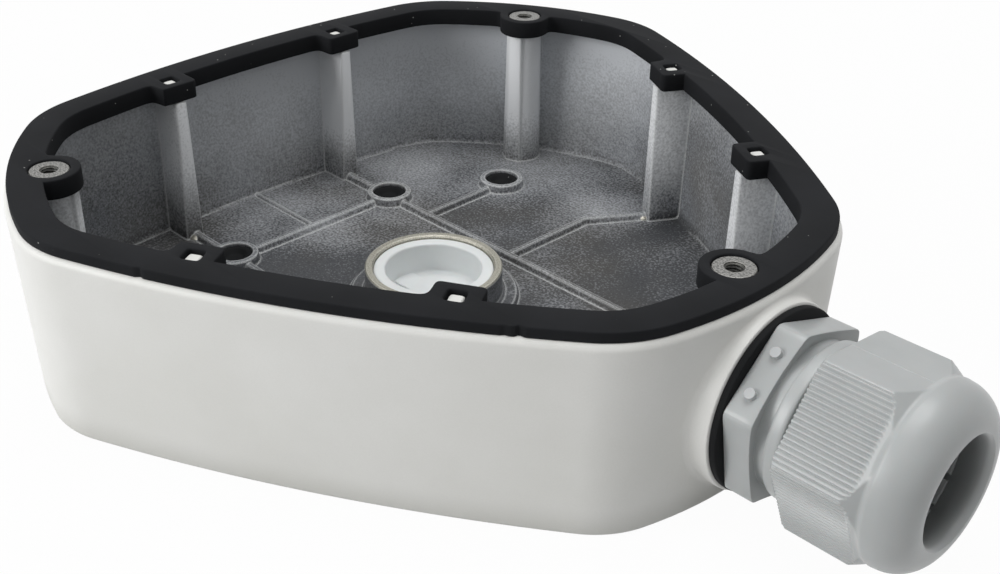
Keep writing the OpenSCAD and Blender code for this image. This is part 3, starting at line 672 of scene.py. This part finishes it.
def base_entry():
    """Stepped disc and machined collar of the base entry."""
    disc = [(DISC_R + 0.3, FLOOR_T - 0.5), (DISC_R + 0.3, FLOOR_T), (DISC_R, FLOOR_T + 0.6),
            (DISC_R - 0.5, FLOOR_T + 1.0)]
    collar = [(COLLAR_R, FLOOR_T - 0.5), (COLLAR_R + 0.9, FLOOR_T + 1.0), (COLLAR_R + 0.2, FLOOR_T + 1.6),
              (COLLAR_R, FLOOR_T + 2.4), (COLLAR_R, COLLAR_TOP - 0.3), (COLLAR_R - 0.3, COLLAR_TOP)]
    here = turner(0)
    return [rod(disc, here, RAW, 96), rod(collar, here, [RAW, RAW, RAW, RAW, CUT, CUT], 96)]


def thread_hole(x, y, top, depth, r, pitch, deep, n=36):
    """Cutter for a tapped hole: a screw surface with a countersunk mouth."""
    rows = int(depth / pitch * 6)
    rings = []

    def spot(i, radius, h):
        a = 2 * math.pi * i / n
        return x + radius * math.cos(a), y + radius * math.sin(a), top + h

    for j in range(rows + 1):
        h = -depth + (depth - COUNTERSINK) * j / rows
        ring = []
        for i in range(n):
            turn = (h / pitch - i / n) % 1
            ring.append(spot(i, r + deep * max(0, 1 - abs(2 * turn - 1) * 1.6), h))
        rings.append(ring)
    for radius, h in ((r + deep, -COUNTERSINK + 0.05), (r + COUNTERSINK, 0.0), (r + COUNTERSINK, 1.0)):
        rings.append([spot(i, radius, h) for i in range(n)])
    return piece("tap", *loft(rings, TAP), mats=casting_mats)


def bores():
    """Cutters for the boss holes, the base entry, the cable entry and the tapped posts."""
    out = []
    for x, y in boss_places():
        at = turner(0, 0, x, y)
        out.append(rod([(6.0, -1), (6.0, 1.4), (BOSS_BORE, 1.4), (BOSS_BORE, BOSS_TOP + 1)], at, RAW))
    here = turner(0)
    out.append(rod([(17.3, -1), (17.3, 2.7), (ENTRY_R, 2.7), (ENTRY_R, COLLAR_TOP - 0.4),
                    (ENTRY_R + 0.4, COLLAR_TOP), (ENTRY_R + 0.4, COLLAR_TOP + 1)], here, CUT, 96))
    rows = [(ENTRY_R, POST_AT - 2 * COLUMN_R), (ENTRY_R, PAD_X + 1)]
    verts, faces, ids = lathe(rows, 96, on_gland, closed=False, marks=CUT)
    out.append(piece("way", verts, faces, ids, mats=casting_mats))
    for k in range(3):
        p = turned([(POST_AT, 0, 0)], k)[0]
        out.append(thread_hole(p.x, p.y, POST_TOP, TAP_DEPTH, TAP_R, 0.7, 0.28))
    return out


casting = solid_outside()
combine(casting, [gland_pad()], "UNION")
combine(casting, [solid_inside()], "DIFFERENCE")
combine(casting, pilasters() + posts() + floor_ribs() + bosses() + base_entry(), "UNION")
combine(casting, bores(), "DIFFERENCE")
tidy(casting, 30)
hand_over(casting, "box_casting", "box")

# Rim gasket

# For each third of the gasket, the ends of its first tab, its ear and its second tab that run
# into the rim line in a hollow curve
BLENDED = [("first", "last", ""), ("last", "first last", "last"), ("last", "first", "first")]
# Places of the small cuts in the outer edge
NICKS = [(8.3, -79.75), (67.6, -44.8), (70.0, -43.6)]


def dense(points, step):
    """The closed polyline with points no further apart than step."""
    out = []
    for a, b in zip(points, points[1:] + points[:1]):
        n = max(1, math.ceil((b - a).length / step))
        out += [a.lerp(b, i / n) for i in range(n)]
    return out


def melt(points, spots, reach, rounds):
    """Rounds a closed polyline near some spots, by averaging neighbours again and again."""
    near = [any((p - spot).length < reach for spot in spots) for p in points]
    for _ in range(rounds):
        before = points[-1:] + points[:-1]
        after = points[1:] + points[:1]
        points = [(a + b * 2 + c) / 4 if close else b
                  for a, b, c, close in zip(before, points, after, near)]
    return points


def notch(run, hit, shape):
    """The run with its points inside hit replaced by a shape, and the shape's two ends."""
    inside = [i for i, p in enumerate(run) if hit(p)]
    points = shape(run[inside[0] - 1], run[inside[-1] + 1])
    return run[:inside[0]] + points + run[inside[-1] + 1:], {"first": points[0], "last": points[-1]}


def ear_edge(first, last):
    """Points round a post's ear, from where the rim line meets it to the mirrored place, which
    needs no last point."""
    a = math.atan2(first.y, first.x - POST_AT)
    sweep = 2 * (math.pi + a)
    return [Vector((POST_AT, 0)) + polar(EAR_R, a - sweep * i / 40) for i in range(1, 40)]


def gasket_opening():
    """Inner edge of the gasket: the rim line with three ears and six tabs standing inwards."""
    line = outline(inset(RIM, FLANGE_IN + FLANGE_W), (10, 16, 40))
    third = len(line) // 3
    path, melted = [], []
    for k in range(3):
        back = Matrix.Rotation(-math.radians(120 * k), 2)
        forth = back.transposed()
        run = [back @ p for p in line[k * third:(k + 1) * third]]
        for s in (-1, 0, 1):
            side = Matrix.Rotation(-s * math.radians(60), 2)

            def in_tab(p):
                return s * p.y > 0 and abs((side @ p).y + s * PILASTER_OFF) < TAB_W / 2

            def in_ear(p):
                return (p - Vector((POST_AT, 0))).length < EAR_R

            def tab_edge(first, last):
                y1, y2 = -s * PILASTER_OFF - TAB_W / 2, -s * PILASTER_OFF + TAB_W / 2
                x1, x2 = (side @ first).x, (side @ last).x
                corners = [(x1, y1), (PILASTER_IN, y1), (PILASTER_IN, y2), (x2, y2)]
                rounded = soften(corners, [0, 1.3, 1.3, 0], 5, closed=False)
                return [side.transposed() @ Vector(p) for p in rounded]

            run, ends = notch(run, in_tab if s else in_ear, tab_edge if s else ear_edge)
            melted += [forth @ ends[name] for name in BLENDED[k][s + 1].split()]
        path += [forth @ p for p in run]
    return melt(dense(path, 0.5), melted, 4.2, 20)


def nicked(loop):
    """Outer edge of the flange with the small cuts seen at the front."""
    out = []
    for p in dense(loop, 0.5):
        cut = max([0] + [1 - (p - Vector(spot)).length / 0.9 for spot in NICKS])
        out.append(p * (1 - 0.8 * cut / p.length))
    return out


def flat_solid(name, loops, z1, z2, bevel, mats):
    """Plate from closed loops, holes inside the first, its edges rounded by bevel."""
    curve = bpy.data.curves.new(name, "CURVE")
    curve.dimensions, curve.fill_mode = "2D", "BOTH"
    curve.extrude = ((z2 - z1) / 2 - bevel) * MM
    curve.bevel_depth, curve.bevel_resolution, curve.offset = bevel * MM, 2, -bevel * MM
    for loop in loops:
        spline = curve.splines.new("POLY")
        spline.points.add(len(loop) - 1)
        for point, p in zip(spline.points, loop):
            point.co = (p[0] * MM, p[1] * MM, 0, 1)
        spline.use_cyclic_u = True
    obj = bpy.data.objects.new(name, curve)
    scene.collection.objects.link(obj)
    view = bpy.context.evaluated_depsgraph_get()
    mesh = bpy.data.meshes.new_from_object(obj.evaluated_get(view))
    bpy.data.objects.remove(obj)
    mesh.transform(Matrix.Translation((0, 0, (z1 + z2) / 2 * MM)))
    mesh.materials.clear()
    for m in mats:
        mesh.materials.append(m)
    made = bpy.data.objects.new(name, mesh)
    scene.collection.objects.link(made)
    tidy(made, 40)
    return made


def round_loop(x, y, r, n=40):
    """Clockwise circle, for a hole."""
    return [Vector((x, y)) + polar(r, -2 * math.pi * i / n) for i in range(n)]


def gasket():
    """Flange on the rim with holes for the posts and pegs; below it only the skirt inside stays."""
    loops = [nicked(outline(inset(RIM, FLANGE_IN))), gasket_opening()]
    for k in range(3):
        p = turned([(POST_AT, 0, 0)], k)[0]
        loops.append(round_loop(p.x, p.y, TIP_R + 0.2))
        for s in (-1, 1):
            w = PEG_R + 0.5
            signs = ((1, 1), (-1, 1), (-1, -1), (1, -1))
            corners = [(PEG_AT + i * w, s * PILASTER_OFF + j * w) for i, j in signs]
            hole = soften(corners, [0.8] * 4, 4)
            loops.append([Vector(p[:2]) for p in turned([(x, y, 0) for x, y in hole], k, 60)])
    obj = flat_solid("rim_gasket_look", loops, GASKET_FOOT, GASKET_TOP, 0.28, [gasket_mat])
    far = inset(RIM, -6)
    near = inset(RIM, WALL_TOP + 0.15)
    rings = [level(near, GASKET_FOOT - 2), level(near, CASTING_H + 0.02), level(far, CASTING_H + 0.02),
             level(far, GASKET_FOOT - 2)]
    ring = piece("under_flange", *loft(rings, closed=True), mats=[gasket_mat])
    combine(obj, [ring], "DIFFERENCE")
    tidy(obj, 40)
    return obj


hand_over(gasket(), "rim_gasket", "box")

# Base plug, its seal, and the rubber plugs of the floor bosses


def turned_piece(name, points, radii, mats, place=None, n=96, closed=True, steps=4):
    """Turned solid from a profile whose corners are rounded."""
    profile = soften(points, radii, steps, closed)
    verts, faces, ids = lathe(profile, n, place, closed)
    return piece(name, verts, faces, ids, mats=mats)


def base_plug():
    """Hollow screw plug with a bar across its floor and a slot in its head."""
    points = [(0.05, PLUG_FLOOR), (HOLLOW_R, PLUG_FLOOR), (HOLLOW_R, PLUG_TOP), (PLUG_R, PLUG_TOP),
              (PLUG_R, 2.0), (16.7, 2.0), (16.7, 0.0), (0.05, 0.0)]
    radii = [0, 0.9, 0.55, 0.5, 0, 0.2, 0.4, 0]
    obj = turned_piece("base_plug_look", points, radii, [white_mat], n=128, closed=False)
    r = HOLLOW_R + 0.6
    shape = [(-r, -3), (r, -3), (r, 3), (-r, 3)]
    rings = [[(x, y, PLUG_FLOOR - 0.6) for x, y in shape],
             [(x, y * 0.97, PLUG_FLOOR + 0.35) for x, y in shape],
             [(x, y * 0.9, PLUG_FLOOR + 0.5) for x, y in shape]]
    combine(obj, [piece("bar", *loft(rings), mats=[white_mat])], "UNION")
    slot = [[(x, y, z) for x, y in ((-18, -1.3), (18, -1.3), (18, 1.3), (-18, 1.3))] for z in (-1, 1.6)]
    combine(obj, [piece("slot", *loft(slot), mats=[white_mat])], "DIFFERENCE")
    tidy(obj, 32)
    return obj


hand_over(base_plug(), "base_plug", "base_plug")
seal = turned_piece("base_plug_seal_look", [(14.23, 2.06), (16.23, 2.06), (16.23, 2.64), (14.23, 2.64)],
                    [0.15] * 4, [black_mat])
hand_over(seal, "base_plug_seal", "plug_seal")


def mount_plug(name, x, y):
    """Plug in the hole of a floor boss, with a head at the base and a dimple in its top."""
    tip = BOSS_TOP - 0.6
    points = [(0.05, 0.3), (5.9, 0.3), (5.9, 1.3), (4.35, 1.3), (4.35, tip), (3.1, tip), (2.0, tip - 1),
              (0.05, tip - 1)]
    radii = [0, 0.3, 0.1, 0, 0.5, 0.3, 0.3, 0]

    def spot(r, a, h):
        return x + r * math.cos(a), y + r * math.sin(a), h

    return turned_piece(name, points, radii, [black_mat], spot, 48, closed=False)


for number, (x, y) in enumerate(boss_places(), 1):
    plug = mount_plug(f"mount_plug_{number}_look", x, y)
    hand_over(plug, f"mount_plug_{number}", "box")

# Cable gland, with the pitches of its two threads and the radius at which its solids end inside

GLAND_PITCH, ENTRY_PITCH, CORE_R = 1.5, 1.5875, 13.0


def near_flat(a, turn, af):
    """Distance from the axis to a hexagon's edge, and the place along its flat."""
    d = (a - turn + math.pi / 6) % (math.pi / 3) - math.pi / 6
    return af / 2 / math.cos(d), af / 2 * math.tan(d)


def washer():
    """Flat ring between the pad and the hexagon."""
    points = [(14.23, WASHER_X), (18.8, WASHER_X), (18.8, HEX_X), (14.23, HEX_X)]
    obj = turned_piece("gland_washer_look", points, [0, 0.35, 0.35, 0], [black_mat], on_gland, 120)
    hand_over(obj, "gland_washer", "box")


def thread_r(a, x, crest, root, pitch):
    """Radius of a right-hand trapezium thread."""
    t = (x / pitch + a / (2 * math.pi)) % 1
    return root + (crest - root) * min(1, max(0, 1.7 - abs(2 * t - 1) * 2.6))


def hex_angles():
    """Angles round the hexagon, closer together at its corners."""
    steps = [i / 20 for i in range(-19, 20, 2)] + [-0.995, -0.975, 0.975, 0.995]
    flat = math.tan(math.pi / 6)
    turn = math.radians(HEX_TURN + 30)
    return sorted(turn + math.pi / 3 * k + math.atan(s * flat) for k in range(6) for s in steps)


def thread_rows(x, end, step, n, crest, root, pitch):
    """Rows of (radius, x) round a thread, from x up to its end."""
    rows = []
    while x < end:
        rows.append([(thread_r(2 * math.pi * i / n, x, crest, root, pitch), x) for i in range(n)])
        x += step
    return rows


def gland_body():
    """Hexagon with its dished front face, neck ring, both threads and the tube for the fingers."""
    turn = math.radians(HEX_TURN + 30)
    angles = hex_angles()
    clip, edge = HEX_AF / math.sqrt(3) - 0.35, HEX_X + 0.25
    corner = lambda a: min(near_flat(a, turn, HEX_AF)[0], clip)
    dish = lambda r: NECK_X - (19.0 - r) * 0.22
    rows = [[(CORE_R, HEX_X - 0.02)] * len(angles)]
    rows.append([(corner(a) - 0.25, HEX_X) for a in angles])
    rows.append([(corner(a), edge) for a in angles])
    for t in (0.3, 0.6, 1.0):
        rows.append([(corner(a), edge + (dish(corner(a)) - 0.25 - HEX_X - 0.25) * t) for a in angles])
    rows.append([(corner(a) - 0.08, dish(corner(a)) - 0.06) for a in angles])
    rows.append([(corner(a) - 0.3, dish(corner(a) - 0.3)) for a in angles])
    rows.append([(15.5, dish(15.5))] * len(angles))
    rows.append([(CORE_R, dish(15.5))] * len(angles))
    rings = [[on_gland(r, a, x) for a, (r, x) in zip(angles, row)] for row in rows]
    mats = [nylon_mat, pin_mat]
    hexagon = piece("gland_body_look", *loft(rings), mats=mats, sharp=28)

    ring = [(CORE_R, NECK_X - 1.5), (14.9, NECK_X - 1.5), (14.9, NECK_X + 1.5), (15.9, NECK_X + 1.5),
            (15.9, NUT_X - 1.0), (14.6, NUT_X - 1.0), (14.6, NUT_X - 0.3), (CORE_R, NUT_X - 0.3)]
    neck = turned_piece("neck", ring, [0, 0, 0.2, 1.0, 1.0, 0.1, 0.1, 0], mats, on_gland, 120, steps=6)

    n = 96
    lead = [[(CORE_R, NECK_X + 3.6)] * n]
    lead += thread_rows(NECK_X + 4.0, FINGER_ROOT - 0.5, 0.19, n, 14.0, 13.35, GLAND_PITCH)
    lead += [[(13.4, FINGER_ROOT - 0.3)] * n, [(13.4, FINGER_ROOT + 0.3)] * n,
             [(CORE_R, FINGER_ROOT + 0.5)] * n]
    tail = [[(CORE_R, PAD_X - 10)] * n, [(13.3, PAD_X - 10)] * n]
    tail += thread_rows(PAD_X - 9.4, PAD_X - 0.6, 0.2, n, 14.05, 13.3, ENTRY_PITCH)
    tail += [[(14.0, PAD_X)] * n, [(14.0, HEX_X + 0.3)] * n]
    threads = []
    for name, rows in (("front_thread", lead), ("tail_thread", tail)):
        turns = [[on_gland(r, 2 * math.pi * i / n, x) for i, (r, x) in enumerate(row)] for row in rows]
        threads.append(piece(name, *loft(turns), mats=mats))

    tube = [(11.0, FINGER_ROOT - 1), (13.68, FINGER_ROOT - 1), (13.68, FINGER_TIP - 2),
            (12.42, FINGER_TIP + 0.3), (11.0, FINGER_TIP + 0.3)]
    fingers = turned_piece("finger_tube", tube, [0, 0, 0.6, 0.3, 0], mats, on_gland, 144)
    combine(hexagon, [neck, *threads, fingers], "UNION")

    hole = [(0.05, PAD_X - 12), (10.4, PAD_X - 12), (10.4, NUT_X - 2), (11.5, NUT_X - 2),
            (11.5, FINGER_TIP + 2), (0.05, FINGER_TIP + 2)]
    way = turned_piece("way", hole, [0] * 6, mats, on_gland, 120, closed=False)
    combine(hexagon, [way, slit_cutters()], "DIFFERENCE")
    combine(hexagon, pin_marks(), "DIFFERENCE")
    tidy(hexagon, 28)
    hand_over(hexagon, "gland_body", "box")


def ring_array():
    """Geometry Nodes: copies of one solid turned round the gland's axis."""
    tree = bpy.data.node_groups.new("ring_array", "GeometryNodeTree")
    face = tree.interface
    face.new_socket("Solid", in_out="INPUT", socket_type="NodeSocketGeometry")
    face.new_socket("Count", in_out="INPUT", socket_type="NodeSocketInt")
    face.new_socket("Axis Height", in_out="INPUT", socket_type="NodeSocketFloat")
    face.new_socket("Material", in_out="INPUT", socket_type="NodeSocketMaterial")
    face.new_socket("Ring", in_out="OUTPUT", socket_type="NodeSocketGeometry")
    given = add(tree, "NodeGroupInput")
    one = add(tree, "GeometryNodeGeometryToInstance", {0: given.outputs["Solid"]})
    many = add(tree, "GeometryNodeDuplicateElements",
               {"Geometry": one.outputs[0], "Amount": given.outputs["Count"]}, domain="INSTANCE")
    step = calc(tree, "DIVIDE", 2 * math.pi, given.outputs["Count"])
    angle = times(tree, step, many.outputs["Duplicate Index"])
    spin = add(tree, "ShaderNodeCombineXYZ", {"X": angle})
    pivot = add(tree, "ShaderNodeCombineXYZ", {"Z": given.outputs["Axis Height"]})
    placed = add(tree, "GeometryNodeRotateInstances",
                 {"Instances": many.outputs["Geometry"], "Rotation": spin.outputs[0],
                  "Pivot Point": pivot.outputs[0], "Local Space": False})
    real = add(tree, "GeometryNodeRealizeInstances", {0: placed.outputs[0]})
    done = add(tree, "GeometryNodeSetMaterial",
               {"Geometry": real.outputs[0], "Material": given.outputs["Material"]})
    add(tree, "NodeGroupOutput", {0: done.outputs[0]})
    return tree


def slit_cutters():
    """The cut between two clamping fingers, repeated twelve times round the axis."""
    w, r1, r2 = 0.6, 10.8, 15.0
    section = [(r1, -w), (r2, -w), (r2, w), (r1, w)]
    rings = []
    for x, grow in ((FINGER_ROOT, 0.35), (FINGER_ROOT + 0.5, 1.0), (FINGER_TIP + 1, 1.0)):
        rings.append([(x, y * grow, GLAND_Z + r) for r, y in section])
    cutter = piece("slit", *loft(rings), mats=[nylon_mat])
    mod = cutter.modifiers.new("ring", "NODES")
    mod.node_group = ring_array()
    sockets = {s.name: s.identifier for s in mod.node_group.interface.items_tree if s.in_out == "INPUT"}
    mod[sockets["Count"]] = 12
    mod[sockets["Axis Height"]] = GLAND_Z * MM
    mod[sockets["Material"]] = nylon_mat
    bake(cutter)
    return cutter


def pin_marks():
    """Cutters for two round ejector marks on one flat of the hexagon. They were meant as shallow
    cuts, but the cut leaves them standing out about 1 mm."""
    out = []
    a = math.radians(HEX_TURN + 30 + 180)
    out_dir = Vector((0, math.sin(a), -math.cos(a)))
    along = Vector((0, math.cos(a), math.sin(a)))
    for v in (-4.3, 4.3):
        c = Vector((HEX_X + 2.95, 0, GLAND_Z)) + along * v
        rings = []
        for r, d in ((0.9, HEX_AF / 2 - 0.14), (1.05, HEX_AF / 2 + 0.02), (1.05, HEX_AF / 2 + 1)):
            rings.append([c + out_dir * d + Vector((r * math.cos(t), 0, 0)) + along * (r * math.sin(t))
                          for t in (2 * math.pi * i / 28 for i in range(28))])
        out.append(piece("pin", *loft(rings, 1), mats=[nylon_mat, pin_mat]))
    return out


def nut():
    """Dome nut: a bevelled hexagon with fine grip ridges on four flats and a parting line on the
    other two, then a round step and the dome with its mouth."""
    turn, af = math.radians(NUT_TURN + 30), NUT_AF
    flat = af / math.sqrt(3)
    ridges, samples = 20, 120
    angles, along, side = [], [], []
    for k in range(6):
        for i in range(samples):
            v = -flat / 2 + flat * (i + 0.5) / samples
            angles.append(turn + math.pi / 3 * k + math.atan(v / (af / 2)))
            along.append(v)
            side.append(k)
    count = len(angles)
    top, rise, step_r = MOUTH_R + 1.0, 2.5, 17.1

    def groove(i, x):
        if side[i] in (2, 5):
            return -0.1 if abs(along[i] - 0.6) < 0.12 else 0.0
        phase = (along[i] / flat * ridges) % 1
        run_out = min(1, max(0, (NUT_T + 0.3 - x) / 0.8))
        return 0.52 * (0.5 + 0.5 * math.cos(2 * math.pi * phase)) * run_out

    def foot(i, x):
        a = angles[i]
        r = min(near_flat(a, turn, af)[0] - groove(i, x), NUT_CORNER - max(0, 0.6 - x) * 0.9)
        return min(r, NUT_CORNER - max(0, x - (NUT_T - 1.6)) * 0.66)

    def dome(x):
        if x < NUT_T + 1:
            return 0
        if x < NUT_T + rise:
            return step_r + (DOME_R - step_r) * math.sin((x - NUT_T - 1) / (rise - 1) * math.pi / 2)
        s = min(1, (x - NUT_T - rise) / (DOME_T - rise))
        return top + (DOME_R - top) * math.sqrt(max(0, 1 - s * s))

    def soft_max(a, b, k=0.9):
        h = max(k - abs(a - b), 0) / k
        return max(a, b) + h * h * k / 4

    rows = [[(NUT_BORE, 0.0)] * count, [(foot(i, 0) - 0.15, 0.0) for i in range(count)]]
    for x in [0.15, 0.35, 0.6, 1.2, 5, 9, 12] + [13.4 + 0.2 * i for i in range(23)]:
        keep = x < NUT_T + 2.6
        rows.append([(soft_max(foot(i, x) if keep else 0, dome(x)), x) for i in range(count)])
    for a in range(14, 91, 6):
        s = math.sin(math.radians(a))
        x = NUT_T + rise + (DOME_T - rise) * s
        if x > 17.9:
            rows.append([(top + (DOME_R - top) * math.cos(math.radians(a)), x)] * count)
    end, cone = NUT_T + DOME_T, CONE_X - NUT_X
    inner = [(top - 0.2, end - 0.02), (MOUTH_R + 0.42, end - 0.3), (MOUTH_R + 0.1, end - 0.85),
             (MOUTH_R, end - 1.4), (MOUTH_R, cone), (MOUTH_R + (NUT_BORE - MOUTH_R) * 0.5, cone - 2.8),
             (NUT_BORE, cone - 5.6), (NUT_BORE, 9.0), (NUT_BORE, 1.0)]
    rows += [[p] * count for p in inner]
    rings = [[on_gland(r, a, NUT_X + x) for a, (r, x) in zip(angles, row)] for row in rows]
    obj = piece("gland_nut_look", *loft(rings, closed=True), mats=[nylon_mat], sharp=35)
    hand_over(obj, "gland_nut", "gland_nut")


washer()
gland_body()
start_x, end_x = NUT_X - 1.9, FINGER_TIP - 3.8
seal = turned_piece("gland_seal_look", [(9.0, start_x), (11.4, start_x), (11.4, end_x), (9.0, end_x)],
                    [0.6, 0.4, 0.4, 0.9], [black_mat], on_gland)
hand_over(seal, "gland_seal", "gland_seal")
nut()

# Floor, light and camera; a lamp is its name, place and size in metres, and power in watts

LAMPS = [("key", (-0.5, -1.1, 0.5), 0.7, 9.7), ("top", (0.0, 0.1, 1.2), 0.9, 8.3),
         ("fill", (0.9, 0.2, 0.6), 0.8, 0.1)]
AIM = Vector((0.02, 0, 0.02))
FLOOR_HALF, FLOOR_Z = 4.0, -0.0002


def seen_share(tree, amount):
    """The amount for rays from the eye, mirrors and clear bodies, and 0 for all others."""
    path = add(tree, "ShaderNodeLightPath").outputs
    seen = calc(tree, "MAXIMUM", path["Is Camera Ray"], calc(tree, "MAXIMUM", path["Is Glossy Ray"],
                                                            path["Is Transmission Ray"]))
    return times(tree, seen, amount)


def studio():
    """White room that lights weakly, a floor that looks white but takes faint shadows, and lamps."""
    world = bpy.data.worlds.new("soft_white_room")
    scene.world = world
    world.use_nodes = True
    tree = world.node_tree
    tree.nodes.clear()
    strength = ramp(tree, seen_share(tree, 1.0), ends=(0.32, 1.0))
    room = add(tree, "ShaderNodeBackground", {"Color": tint("#ffffff"), "Strength": strength})
    add(tree, "ShaderNodeOutputWorld", {0: room.outputs[0]})

    mat, tree, out, _ = start("pale_floor")
    plain = add(tree, "ShaderNodeBsdfDiffuse", {"Color": tint("#d4d4d4")})
    glow = add(tree, "ShaderNodeEmission", {"Color": tint("#ffffff"), "Strength": 1.0})
    seen = seen_share(tree, 0.97)
    mixed = add(tree, "ShaderNodeMixShader", {0: seen, 1: plain.outputs[0], 2: glow.outputs[0]})
    tree.links.new(mixed.outputs[0], out.inputs[0])
    mesh = bpy.data.meshes.new("floor")
    s, z = FLOOR_HALF, FLOOR_Z
    mesh.from_pydata([(-s, -s, z), (s, -s, z), (s, s, z), (-s, s, z)], [], [(0, 1, 2, 3)])
    mesh.materials.append(mat)
    floor = bpy.data.objects.new("floor", mesh)
    scene.collection.objects.link(floor)
    floor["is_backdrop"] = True

    for name, where, size, power in LAMPS:
        light = bpy.data.lights.new(name, "AREA")
        light.shape, light.size, light.energy = "DISK", size, power
        lamp = bpy.data.objects.new(name, light)
        lamp.location = where
        lamp.rotation_euler = (AIM - Vector(where)).to_track_quat("-Z", "Y").to_euler()
        scene.collection.objects.link(lamp)


def photo_camera():
    """Camera at the photograph's place, worked out from the outlines of the rim and the base."""
    lens = bpy.data.cameras.new("photo_camera")
    lens.sensor_fit, lens.sensor_width, lens.lens = "HORIZONTAL", 36.0, 48.474
    lens.shift_x, lens.shift_y = 0.04256, -0.00164
    lens.clip_start, lens.clip_end = 0.01, 20
    cam = bpy.data.objects.new("photo_camera", lens)
    cam.matrix_world = Matrix(((0.6843097, -0.3681017, 0.6294612, 0.203400),
                               (0.7291905, 0.3439810, -0.5915728, -0.183519),
                               (0.0012362, 0.8638161, 0.5038068, 0.165295),
                               (0, 0, 0, 1)))
    scene.collection.objects.link(cam)
    scene.camera = cam


studio()
photo_camera()
scene.view_settings.view_transform = "Standard"

corners = [[list(map(float, corner)) for corner in box] for box in (cad_box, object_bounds())]
